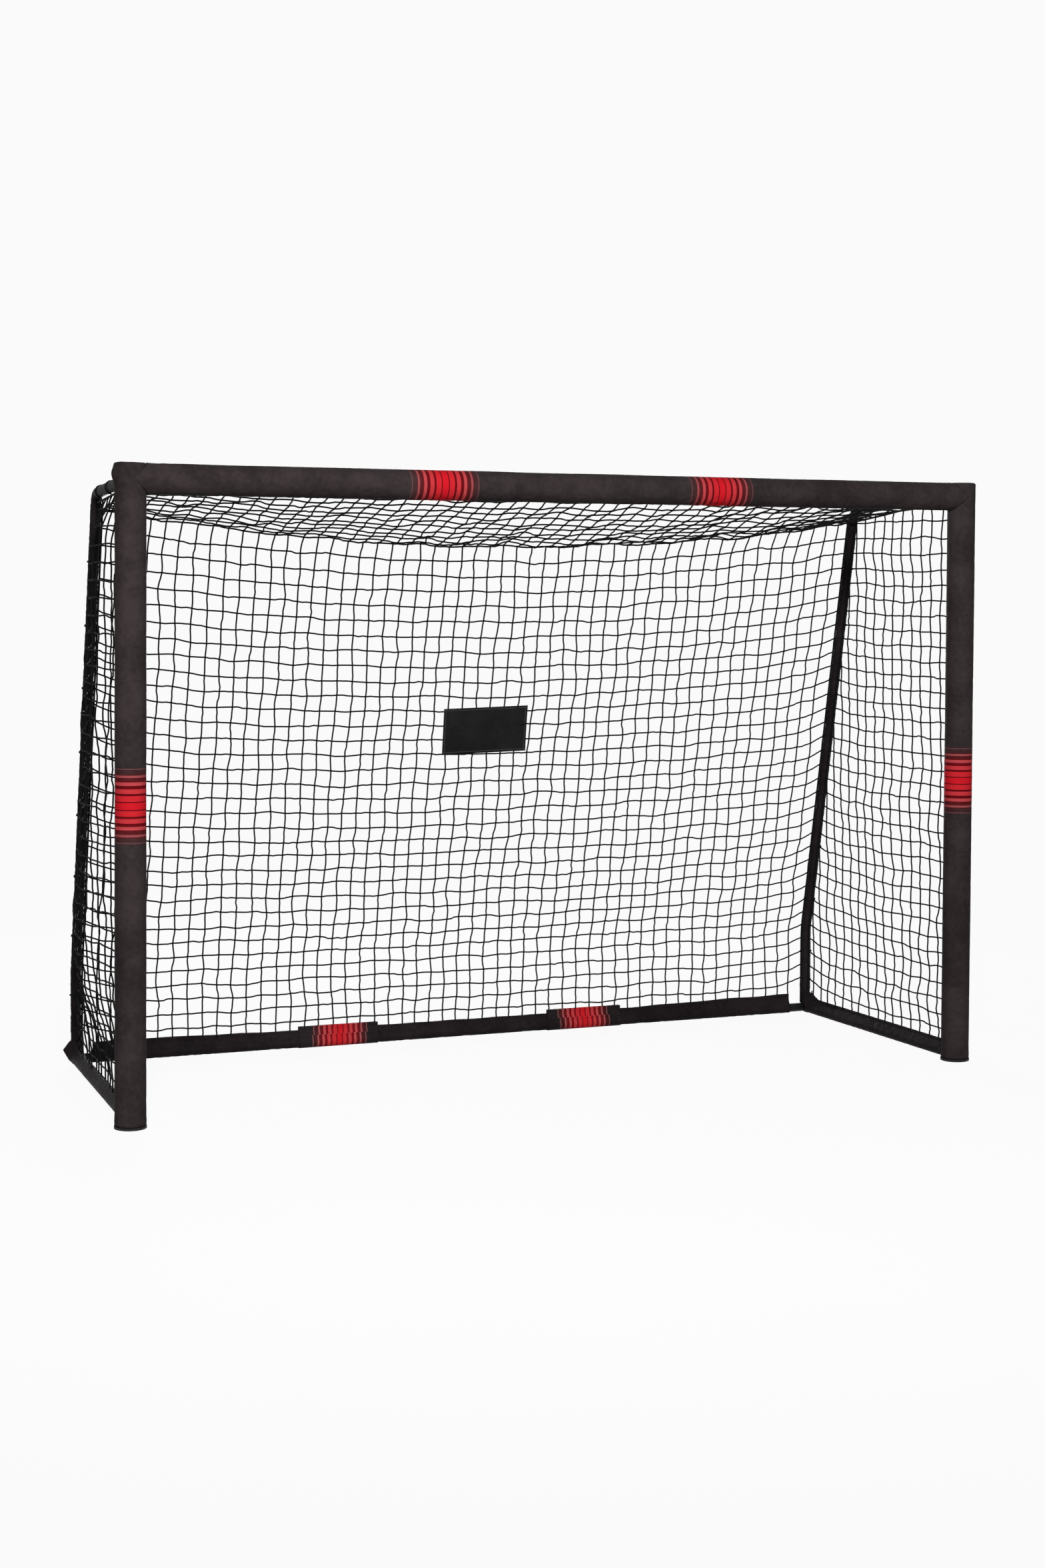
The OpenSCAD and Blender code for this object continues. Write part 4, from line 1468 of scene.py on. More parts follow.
@dataclass
class SideRailCover:
    """The cloth cover of a side rail, which opens into a boot round the foot of the stay."""

    goal: GoalSizes
    side: Side
    finish: Material
    low_r: float = 0.0145
    boot_r: float = 0.0157
    half_gap: float = 0.0026
    boot_top: float = 0.046
    flap_top: float = 0.068
    wall: float = 0.001
    columns: int = 57
    spacing: float = 0.0045
    lip: Pair = (0.019, 0.008)
    lip_drop: float = 0.005
    folds: Waves = Waves(0.055, slant=35.0, spread=40.0, sharp=0.5, rise=0.0010)
    ripples: Waves = Waves(0.022, slant=50.0, spread=40.0, sharp=0.5, rise=0.0006)
    deepest: float = -0.0006

    def outlines(self, from_stay: Array) -> Array:
        """The cover's outline at each place along the rail.

        Args:
            from_stay: how far behind the stay's axis each place is.

        Returns:
            Points across and up from the rail's axis: two pressed layers that rise towards the stay,
            open in front of it and close to a round nose behind it.
        """
        goal = self.goal
        opened = ease((from_stay + 0.034) / 0.022)
        top = (goal.cover_z - goal.rail_z
               + (self.flap_top - goal.cover_z) * ease((from_stay + 0.080) / 0.062)
               - (self.flap_top - self.boot_top) * ease((from_stay + 0.014) / 0.018))
        low_r = self.low_r + (self.boot_r - self.low_r) * opened
        half_gap = self.half_gap + (self.boot_r - self.half_gap) * opened
        outline = np.stack([folded_outline(r, gap, t, press, self.columns)
                            for r, gap, t, press in zip(low_r, half_gap, top, 0.008 + 0.014 * opened)])
        closing = np.sqrt(np.maximum(1.0 - (np.maximum(from_stay, 0.0) / self.boot_r) ** 2, 0.0))[:, None]
        outline[:, :, 0] *= np.maximum(closing, 0.085)
        outline[:, :, 1] = np.where(outline[:, :, 1] < 0, outline[:, :, 1] * closing, outline[:, :, 1])
        return outline

    def cloth(self) -> Cloth:
        """Lays the cloth, from the post's padding to the round end of the boot.

        Returns:
            The cover's cloth without the rear rail's opening.
        """
        goal, number = self.goal, self.side.number
        foot, rear = goal.post_at(self.side, goal.rail_z), goal.rear_at(self.side, goal.rail_z)
        heading, length = unit(rear - foot), float(np.linalg.norm(rear - foot))
        across = np.cross(heading, Z)
        last = self.boot_r - 0.0003
        s = np.concatenate([np.arange(goal.pad_r * 0.8, length, self.spacing),
                            length + last * np.sin(np.linspace(0.0, math.pi / 2, 12))])
        outline = self.outlines(s - length)
        outer = ease(self.side.value * outline[:, :, 0] * (1.0 if across[0] > 0 else -1.0) / 0.012)
        lip = (outer * Ridge(0.004, 0.012).height(s - length)[:, None]
               * np.clip((outline[:, :, 1] + 0.010) / 0.038, 0.0, 1.0))
        outline[:, :, 0] += np.sign(outline[:, :, 0]) * lip * self.lip[number]
        outline[:, :, 1] -= lip * self.lip_drop
        start = np.sqrt(np.maximum((goal.pad_r + 0.0006) ** 2 - outline[0, :, 0] ** 2, 0.0))
        along = s[:, None] + (start[None, :] - s[0]) * ease(1.0 - (s - s[0])[:, None] / 0.05)
        rows = (foot + along[..., None] * heading + outline[:, :, 0, None] * across
                + outline[:, :, 1, None] * Z)
        spine = foot + s[:, None] * heading + 0.01 * Z
        cloth = Cloth(rows, spine, closed=False)
        upper = ease((outline[:, :, 1] - 0.004) / 0.02)
        calm = 1.0 - 0.75 * ease((s - length + 0.02) / 0.02)[:, None]
        height = calm * (upper * self.folds.height(rows, Y, 61 + number)
                         + self.ripples.height(rows, Y, 70 + number))
        cloth.push(np.maximum(height, self.deepest))
        return cloth

    def build(self) -> None:
        """Makes the cover."""
        goal, cloth = self.goal, self.cloth()
        corner = goal.rear_at(self.side, goal.rail_z)
        cloth.holes = [Hole(corner, -self.side.value * X, goal.rail_r + 0.0012)]
        name = f"{self.side.word}_side_rail_cover"
        piece = cloth.build(name + "_cloth", self.wall)
        dress(piece, self.finish, Slot.RAIL, name)
        cloth.flat


@dataclass
class RearRailCover:
    """The cloth cover of the rear rail, creased along its length, with a hem at each end."""

    goal: GoalSizes
    finish: Material
    low_r: float = 0.0145
    half_gap: float = 0.0026
    wall: float = 0.001
    columns: int = 57
    rows: int = 401
    short: float = 0.014
    folds: Waves = Waves(0.085, slant=62.0, spread=22.0, sharp=0.55, rise=0.0017)
    ripples: Waves = Waves(0.026, slant=50.0, spread=35.0, sharp=0.5, rise=0.0007)
    hem: Ridge = Ridge(0.0, 0.007, 0.0006)
    deepest: float = -0.0008
    edge_waves: Waves = Waves(0.16, slant=0.0, spread=10.0, rise=0.0010)

    def cloth(self) -> Cloth:
        """Lays the cloth, with its long folds and its uneven top edge.

        Returns:
            The cover's cloth.
        """
        goal = self.goal
        x = np.linspace(-goal.cover_end_x, goal.cover_end_x - self.short, self.rows)
        outline = folded_outline(self.low_r, self.half_gap, goal.cover_z - goal.rail_z, 0.008, self.columns)
        cloth = along_rear(goal, x, outline)
        upper = ease((outline[:, 1] - 0.002) / 0.02)[None, :]
        pressed = 1.0 - ease((outline[:, 1] - 0.020) / 0.008)[None, :]
        from_end = np.minimum(x - x[0], x[-1] - x)[:, None]
        height = (upper * pressed * self.folds.height(cloth.rows, X, 71)
                  + self.ripples.height(cloth.rows, X, 72) + self.hem.height(from_end))
        cloth.push(np.maximum(height, self.deepest))
        edge = ease((outline[:, 1] - 0.022) / 0.010)[None, :]
        lift = (0.002 + 0.008 * ease((np.abs(x) - 0.40) / 0.62)
                + self.edge_waves.height(x[:, None] * X, X, 73))
        cloth.rows[..., 2] += edge * lift[:, None]
        return cloth

    def build(self) -> None:
        """Makes the cover."""
        cloth = self.cloth()
        piece = cloth.build("rear_rail_cover_cloth", self.wall)
        dress(piece, self.finish, Slot.RAIL, "rear_rail_cover")
        cloth.flat


@dataclass
class RearWrap:
    """A printed wrap round the rear rail's cover, whose front flap is lapped at half its height."""

    goal: GoalSizes
    side: Side
    finish: Material
    low_r: float = 0.0164
    half_gap: float = 0.0040
    wall: float = 0.001
    columns: int = 61
    rows: int = 61
    lap_low: float = 0.031
    lap_high: float = 0.040
    lap_rise: float = 0.0013
    folds: Waves = Waves(0.045, slant=45.0, spread=40.0, sharp=0.4, rise=0.0006)
    hem: Ridge = Ridge(0.0, 0.006, 0.0005)
    floor: float = 0.0002

    def panel(self, outline: Array, seed: int, name: str) -> tuple[Piece, Cloth]:
        """One layer of the wrap.

        Args:
            outline: its points across and up from the rail's axis.
            seed: which set of ripples it has.
            name: its name.

        Returns:
            The layer's object and its cloth.
        """
        goal = self.goal
        x = self.side.value * goal.wrap_x + np.linspace(-0.5, 0.5, self.rows) * goal.wrap_w
        cloth = along_rear(goal, x, outline)
        ends = self.hem.height(goal.wrap_w / 2 - np.abs(x - x.mean()))[:, None]
        low = ease((-0.004 - outline[:, 1]) / 0.010)[None, :]
        cloth.push((self.folds.height(cloth.rows, X, seed) + ends) * (1.0 - 0.9 * low))
        cloth.rows[..., 2] = np.maximum(cloth.rows[..., 2], self.floor)
        return cloth.build(name, self.wall), cloth

    def build(self) -> None:
        """Makes the wrap of its two lapped layers."""
        goal = self.goal
        top = goal.wrap_z - goal.rail_z
        whole = folded_outline(self.low_r, self.half_gap, top, 0.012, 241)
        front = whole[:, 0] < 0
        under = whole[~front | (whole[:, 1] < self.lap_high - goal.rail_z)]
        over = whole[front & (whole[:, 1] > self.lap_low - goal.rail_z)]
        lower_edge = ease((over[:, 1].min() + 0.014 - over[:, 1]) / 0.012)
        over = over - np.stack([self.lap_rise * (0.35 + 0.65 * lower_edge), np.zeros(len(over))], axis=1)
        name = f"rear_{self.side.word}_wrap"
        seed = 81 + self.side.number
        layers = [self.panel(resample(under, self.columns), seed, name + "_under"),
                  self.panel(resample(over, 21), seed + 5, name + "_over")]
        piece = joined(name + "_cloth", [layer for layer, _ in layers])
        around = sum(cloth.flat[0] for _, cloth in layers)
        dress(piece, self.finish, Slot.PRINT, name)


@dataclass
class NetTape:
    """Hook-and-loop tape down the back of a pad, with tabs that close over the net's border cord."""

    part: str
    goal: GoalSizes
    finish: Material
    low: Array
    high: Array
    tabs: int
    lift: float = 0.0004
    base: float = 0.0011
    tab_w: float = 0.022
    tab_half: float = 0.0115
    border_r: float = 0.0028
    hump_half: float = 0.0066
    ripples: Waves = Waves(0.03, slant=30.0, spread=60.0, rise=0.00015)

    def strip(self, low: Array, high: Array, profile: Array, steps: int, name: str) -> Piece:
        """A strip along the pad.

        Args:
            low: where its middle starts on the pad's axis.
            high: where it ends.
            profile: arc lengths round the pad and heights above it.
            steps: how many steps it takes along.
            name: its name.

        Returns:
            The strip's object.
        """
        heading = unit(high - low)
        around = np.cross(heading, Y)
        turn = profile[:, 0] / self.goal.pad_r
        radius = self.goal.pad_r + profile[:, 1]
        across = (np.sin(turn) * radius)[:, None] * around + (np.cos(turn) * radius)[:, None] * Y
        share = np.linspace(0.0, 1.0, steps)
        middle = low + share[:, None] * (high - low)
        rows = middle[:, None, :] + across[None]
        cloth = Cloth(rows, middle, closed=False)
        cloth.push(self.ripples.height(rows, heading, 91))
        return cloth.build(name, self.base - 0.0001)

    def build(self) -> None:
        """Makes the tape and its tabs."""
        half, name = self.goal.tape_w / 2, self.part + "_tape_strip"
        length = float(np.linalg.norm(self.high - self.low))
        heading = unit(self.high - self.low)
        flat = np.stack([np.linspace(-half, half, 13), np.full(13, self.lift + self.base)], axis=1)
        parts = [self.strip(self.low, self.high, flat, int(length / 0.012), name + "_base")]
        arc = np.linspace(-1.0, 1.0, 19) * self.tab_half
        hump = (2 * self.border_r + 0.0016) * ease((self.hump_half - np.abs(arc)) / 0.0042)
        tab = np.stack([arc, self.lift + 2 * self.base + hump], axis=1)
        for n in range(self.tabs):
            middle = self.low + heading * length * (n + 0.5) / self.tabs
            parts.append(self.strip(middle - heading * self.tab_w / 2, middle + heading * self.tab_w / 2,
                                    tab, 5, f"{name}_tab_{n}"))
        piece = joined(name, parts)
        dress(piece, self.finish, Slot.TAPE, self.part + "_tape")


# ---- net


@dataclass
class Net:
    """The hung net: a roof, a back and two sides, knotted from one mesh of cord."""

    goal: GoalSizes
    shape: StayShape
    finish: Material
    cord_r: float = 0.0022
    border_r: float = 0.0028
    knot: float = 0.0043
    columns: int = 53
    rows: int = 33
    roof_rows: int = 12
    side_pitch: float = 0.0437
    clear: float = 0.0173
    first_row: float = 0.028
    edge_drop: float = 0.0455
    edge_lift: float = 0.030
    sag: float = 0.080
    belly: float = 0.007
    billow: Pair = (-0.070, -0.009)
    ties: int = 4
    tie_r: float = 0.0157
    untied: float = 0.040
    broad: Waves = Waves(0.30, rise=0.0032)
    near: Waves = Waves(0.10, rise=0.0021)
    single: float = 0.0015
    hem_z: float = 0.0415
    label_half: Pair = (0.16, 0.11)
    label_z: float = 0.900
    rng: np.random.Generator = field(default_factory=lambda: np.random.default_rng(7))

    @property
    def front_y(self) -> float:
        """Where the net's front border lies, just behind the tapes."""
        return self.goal.tape_y + 0.0019

    @property
    def low_z(self) -> float:
        """Height at which the free net starts above the rail covers."""
        return self.goal.cover_z + 0.0018

    @property
    def half(self) -> float:
        """Half the width of the back net."""
        return self.goal.rear_x - self.clear

    @property
    def back_length(self) -> float:
        """Length of the back net from its lower edge to the ridge at a stay."""
        bend, kink = self.shape.bend(Side.RIGHT), self.shape.kink(Side.RIGHT)
        return self.shape.kink_z - self.low_z + float(np.linalg.norm(bend - kink)) - self.edge_drop

    def row_lengths(self, u: Array, v: Array) -> Array:
        """Length up the back net at which a row lies: higher beside the stays, lower along the sagging ridge.

        Args:
            u: share of the net's width.
            v: share of the rows, from the lowest to the ridge.

        Returns:
            The lengths.
        """
        off = np.abs(2 * u - 1)
        ridge = self.back_length - self.sag * (1.0 - off ** 2.25)
        share = v - 0.0686 * (v - v * v)
        lift = self.edge_lift * np.exp(-self.half * (1.0 - off) / 0.055) * (1.0 - ease((v - 0.6) / 0.4))
        return self.first_row + (ridge - self.first_row) * share + lift

    def up_back(self, length: Array) -> Array:
        """Points at a length up the back net from its lower edge, at the middle of the goal."""
        upright = self.shape.kink_z - self.low_z
        straight = np.array([0.0, self.goal.rear_y, 0.0]) + (self.low_z + length)[..., None] * Z
        kink = np.array([0.0, self.goal.rear_y, self.shape.kink_z])
        leaning = kink + (length - upright)[..., None] * self.shape.lean
        return np.where((length < upright)[..., None], straight, leaning)

    @staticmethod
    def arch(u: Array) -> Array:
        """A parabola that is 0 at both ends and 1 in the middle."""
        return 4.0 * u * (1.0 - u)

    def unrest(self, knots: Array, seed: int, amount: Array) -> Array:
        """Moves knots off their even places, a little each and a little all together.

        Args:
            knots: the even places.
            seed: which pattern it is.
            amount: how strong it is at each, from 0 to about 1.

        Returns:
            The uneven places.
        """
        broad = np.stack([self.broad.height(knots, Z, seed + n) for n in range(3)], axis=-1)
        near = np.stack([self.near.height(knots, Z, seed + 10 + n) for n in range(3)], axis=-1)
        single = self.single * np.clip(self.rng.normal(0.0, 1.0, knots.shape), -2.0, 2.0)
        return knots + amount[..., None] * (broad + near + single)

    def edge_lengths(self) -> Array:
        """Length up the back net of each row where it meets a stay."""
        return self.row_lengths(np.zeros(self.rows + 1), np.linspace(0.0, 1.0, self.rows + 1))

    def back_knots(self) -> Array:
        """Knots of the back net, columns by rows, from its lowest row to the ridge."""
        u, v = np.meshgrid(np.linspace(0.0, 1.0, self.columns + 1), np.linspace(0.0, 1.0, self.rows + 1),
                           indexing="ij")
        from_edge = self.half * (1.0 - np.abs(2 * u - 1))
        even = self.up_back(self.row_lengths(u, v)) + ((2 * u - 1) * self.half)[..., None] * X
        tuck = (0.012 + 0.016 * ease((0.9 - from_edge) / 0.6)) * ease(from_edge / 0.06)
        even[..., 1] -= tuck * np.exp(-self.rows * (1.0 - v) / 1.1)
        near_label = (ease((self.label_half[0] - np.abs(even[..., 0])) / 0.04)
                      * ease((self.label_half[1] - np.abs(even[..., 2] - self.label_z)) / 0.04))
        return self.unrest(even, 100, (1.0 - 0.9 * near_label) * ease(from_edge / 0.05))

    def roof_knots(self, ridge: Array) -> Array:
        """Knots of the roof net, columns by rows, from the front border to the ridge.

        Args:
            ridge: the back net's highest row.

        Returns:
            The roof's knots, the last row of which is the ridge.
        """
        toe_in = (self.goal.post_x - self.goal.rear_x) / self.shape.arm
        half = self.goal.post_x - toe_in * (self.front_y - self.goal.front_y) - self.clear
        u = np.linspace(0.0, 1.0, self.columns + 1)
        front = np.stack([(2 * u - 1) * half, np.full_like(u, self.front_y),
                          np.full_like(u, self.goal.bar_z)], axis=1)
        v = 1.0 - (1.0 - np.linspace(0.0, 1.0, self.roof_rows + 1)) ** 1.12
        even = front[:, None] + (ridge - front)[:, None] * v[None, :, None]
        hang = self.arch(v)[None, :] * (self.belly * self.arch(u)[:, None] + 0.004)
        even = even - hang[..., None] * Z
        calm = (ease(v / 0.1) * ease((1.0 - v) / 0.08))[None, :] * ease(self.arch(u) / 0.08)[:, None]
        return self.unrest(even, 200, 1.3 * calm)

    def stay_front(self, z: Array) -> Array:
        """Depth of the side net's rear edge at a height."""
        lean = self.shape.lean
        leaning = (self.goal.rear_y - self.clear / lean[2]
                   + (z - self.shape.kink_z) * lean[1] / lean[2])
        return np.where(z < self.shape.kink_z, self.goal.rear_y - self.clear, leaning)

    def side_point(self, side: Side, y: Array, level: Array) -> Array:
        """A point of the side net, whose rows droop from the stay towards the post.

        Args:
            side: which side it is.
            y: its depth.
            level: height of its row at the stay.

        Returns:
            The point, or points.
        """
        goal, rear_y = self.goal, self.stay_front(level)
        droop = np.interp(level, (0.10, 0.30, 1.18, 1.50), (0.036, 0.026, 0.015, 0.0))
        z = level - droop * (1.0 - fade(rear_y - y, 0.12))
        t = np.clip((y - self.front_y) / (rear_y - self.front_y), 0.0, 1.0)
        depth = (rear_y - self.front_y) / (goal.rear_y - self.clear - self.front_y)
        free = ease((z - 0.06) / 0.35) * ease((1.535 - z) / 0.12) * depth
        blown = self.billow[side.number] * free * (1.0 - np.abs(2 * t - 1) ** 1.35)
        x = side.value * (goal.post_x + (goal.rear_x - goal.post_x) * t) + blown
        return np.stack([x, self.front_y + t * (rear_y - self.front_y), z], axis=-1)

    def under_arm(self, side: Side, y: Reals) -> Array:
        """A point of the side net's upper border, which follows the stay's arm.

        Args:
            side: which side it is.
            y: its depth.

        Returns:
            The point, or points.
        """
        goal, share = self.goal, (np.asarray(y) - self.goal.front_y) / self.shape.arm
        z = goal.bar_z - self.clear - self.shape.drop * share - 0.0075 * ease(share)
        x = side.value * (goal.post_x + (goal.rear_x - goal.post_x) * share)
        return np.stack([x, np.asarray(y) + 0.0, z], axis=-1)

    def line(self, knots: Array, steps: int = 3, sway: float = 0.0007) -> Array:
        """A slightly wavy cord through knots."""
        run = soft_line(knots, steps)
        loose = np.ones(len(run))
        loose[::steps] = 0.0
        return run + self.rng.normal(0.0, sway, run.shape) * loose[:, None]

    def hug(self, side: Side, at: Array, heading: Array) -> Array:
        """A cord that passes round the outside of a stay, from the back or roof net to the side net.

        Args:
            side: which stay it is.
            at: the point on the stay's axis.
            heading: the stay's direction there.

        Returns:
            The cord's points.
        """
        inside = unit(np.cross(heading, X))
        turn = np.linspace(0.0, 1.5 * math.pi, 13)
        near = self.tie_r + (self.clear - self.tie_r) * np.cos(math.pi * turn / turn[-1]) ** 8
        inward = -side.value * X
        return at + near[:, None] * (np.cos(turn)[:, None] * inward - np.sin(turn)[:, None] * inside)

    def border(self, work: CordWork, run: Array, up: Array) -> None:
        """Adds a stretch of the thicker border cord."""
        work.cord(run, self.border_r, up, sides=6)

    def around_stays(self, work: CordWork, marks: Array, upper: bool) -> None:
        """Adds the ties that pass round the stays' sleeves, at every few rows.

        Args:
            work: where they are gathered.
            marks: for each row its share of the arm, or its length up the back net.
            upper: whether it is the arm or the stay below the bend.
        """
        for side in Side:
            bend = self.shape.bend(side)
            for share in marks[self.ties // 2::self.ties]:
                if upper:
                    corner = self.goal.post_at(side, self.goal.bar_z)
                    heading = unit(bend - corner)
                    start = corner + heading * (self.front_y - self.goal.front_y)
                    at = start + (bend - start) * share
                else:
                    at = self.up_back(np.array([share]))[0] + side.value * self.goal.rear_x * X
                    heading = -self.shape.lean if at[2] > self.shape.kink_z else -Z
                at_pad = upper and share < 0.04
                if np.linalg.norm(at - bend) >= self.untied and not at_pad:
                    work.cord(self.hug(side, at, heading), self.cord_r, heading)

    def back(self, knots: Array) -> CordWork:
        """Ties the back net.

        Args:
            knots: its knots.

        Returns:
            Its cords and knots.
        """
        work, goal = CordWork(), self.goal
        for j in range(self.rows + 1):
            work.cord(self.line(knots[:, j]), self.cord_r if j < self.rows else self.cord_r * 1.1, Z)
        for i in range(self.columns + 1):
            x = knots[i, 0, 0]
            covered = abs(x) < goal.cover_end_x
            low = self.hem_z if covered else goal.rail_z + goal.rail_r + self.cord_r
            foot = np.array([x, goal.rear_y, low])
            work.cord(self.line(np.vstack([foot, knots[i]])), self.cord_r, Y)
            if not covered and abs(x) < goal.rear_x - 0.02:
                turn = np.linspace(0.0, 2 * math.pi, 15)
                ring = np.array([x, goal.rear_y, goal.rail_z]) + (goal.rail_r + self.cord_r) * (
                    np.cos(turn)[:, None] * Z + np.sin(turn)[:, None] * Y)
                work.cord(ring, self.cord_r, X)
        inner = knots[1:-1]
        across = unit(knots[2:] - knots[:-2])
        upward = unit(np.gradient(inner, axis=1))
        work.knots(inner.reshape(-1, 3), across.reshape(-1, 3), upward.reshape(-1, 3), self.knot)
        for edge in (knots[0], knots[-1]):
            foot = np.array([edge[0, 0], goal.rear_y, goal.rail_z + goal.rail_r + self.border_r])
            self.border(work, soft_line(np.vstack([foot, edge]), 2), Y)
        self.around_stays(work, self.edge_lengths(), upper=False)
        return work

    def roof(self, knots: Array) -> CordWork:
        """Ties the roof net.

        Args:
            knots: its knots.

        Returns:
            Its cords and knots.
        """
        work = CordWork()
        for j in range(1, self.roof_rows):
            work.cord(self.line(knots[:, j]), self.cord_r, Z)
        for i in range(self.columns + 1):
            work.cord(self.line(knots[i]), self.cord_r, X)
        inner = knots[1:-1, 1:-1]
        across = unit(knots[2:, 1:-1] - knots[:-2, 1:-1])
        along = unit(knots[1:-1, 2:] - knots[1:-1, :-2])
        work.knots(inner.reshape(-1, 3), across.reshape(-1, 3), along.reshape(-1, 3), self.knot)
        self.border(work, soft_line(knots[:, 0], 2), Z)
        for edge in (knots[0], knots[-1]):
            self.border(work, soft_line(edge, 2), X)
        self.around_stays(work, np.linspace(0.0, 1.0, self.roof_rows + 1), upper=True)
        return work

    def side(self, side: Side) -> CordWork:
        """Ties one side net, whose upright columns are cut off along the leaning stay.

        Args:
            side: which side it is.

        Returns:
            Its cords and knots.
        """
        work, levels = CordWork(), self.up_back(self.edge_lengths())[:, 2]
        count = int((self.goal.rear_y - self.clear - self.front_y) / self.side_pitch)
        number, level = np.meshgrid(np.arange(count + 1), levels, indexing="ij")
        ys = self.front_y + number * (self.side_pitch + 0.0023 * level)
        even, rear_y = self.side_point(side, ys, level), self.stay_front(level)
        calm = ease((ys - self.front_y) / 0.03) * ease((rear_y - ys) / 0.06)
        calm = calm * (1.6 - 0.6 * ease(level / 0.35))
        places = self.unrest(even, 300 + 100 * side.number, calm)
        shown = ys < rear_y - 0.012
        for j, height in enumerate(levels):
            end = self.side_point(side, rear_y[0, j], height)
            work.cord(self.line(np.vstack([places[shown[:, j], j], end])), self.cord_r, Z)
        arm_end = float(self.stay_front(self.under_arm(side, self.goal.front_y + self.shape.arm)[2]))
        self.border(work, self.under_arm(side, np.linspace(self.front_y, arm_end, 14)), Z)
        for i in range(count + 1):
            column = places[i, shown[i]]
            foot = np.array([column[0, 0], column[0, 1], self.hem_z])
            ends = [foot] + list(column)
            y = float(column[-1, 1])
            if shown[i].all():
                ends.append(self.under_arm(side, min(y, arm_end)))
            else:
                heights = np.linspace(float(column[-1, 2]), float(column[-1, 2]) + 0.3, 200)
                over = heights[np.argmax(self.stay_front(heights) < y)]
                if over > column[-1, 2] + 0.004:
                    ends.append(np.array([column[-1, 0], y, over]))
            run = self.line(np.array(ends))
            if i == 0:
                self.border(work, run, Y)
            else:
                work.cord(run, self.cord_r, Y)
        inner = shown.copy()
        inner[0] = False
        across = unit(np.gradient(places, axis=0))
        upward = unit(np.gradient(places, axis=1))
        work.knots(places[inner], across[inner], upward[inner], self.knot)
        rise = np.linspace(self.low_z, float(self.under_arm(side, arm_end)[2]), 60)
        self.border(work, self.side_point(side, self.stay_front(rise), rise), X)
        return work

    def build(self) -> None:
        """Makes the four panels."""
        back = self.back_knots()
        roof = self.roof_knots(back[:, -1])
        panels = {"net_back": self.back(back), "net_roof": self.roof(roof),
                  "net_left": self.side(Side.LEFT), "net_right": self.side(Side.RIGHT)}
        for name, work in panels.items():
            piece = work.build(name + "_cords")
            dress(piece, self.finish, Slot.CORD, name)


@dataclass
class NetLabel:
    """The bare patch sewn on the back net, a little crooked and with a raised hem."""

    goal: GoalSizes
    shape: StayShape
    width: float = 0.254
    height: float = 0.134
    wall: float = 0.0012
    twist: float = 1.6
    aside: float = 0.010

    def build(self) -> None:
        """Makes the patch."""
        low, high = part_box("net_label")
        middle = np.array((low + high) / 2) + self.aside * X
        up = self.shape.lean
        front = np.cross(X, up)
        angle = math.radians(self.twist)
        one = math.cos(angle) * X + math.sin(angle) * up
        two = np.cross(one, front) * -1.0
        two = two if two[2] > 0 else -two
        s, t = np.meshgrid(np.linspace(-0.5, 0.5, 49), np.linspace(-0.5, 0.5, 27), indexing="ij")
        edge = np.minimum(self.width * (0.5 - np.abs(s)), self.height * (0.5 - np.abs(t)))
        hem = 0.0005 * ease((0.009 - edge) / 0.0015)
        bow = 0.0016 * np.sin(math.pi * (s + 0.5) * 1.3) * np.cos(math.pi * t)
        rows = (middle + (s * self.width)[..., None] * one + (t * self.height)[..., None] * two
                + (hem + bow + 0.0004)[..., None] * front)
        spine = np.tile(middle - 0.5 * front, (49, 1))
        cloth = Cloth(rows, spine, closed=False)
        piece = cloth.build("net_label_patch", self.wall)
        dress(piece, PatchCloth(*cloth.flat).material(), Slot.LABEL, "net_label")


# ---- studio


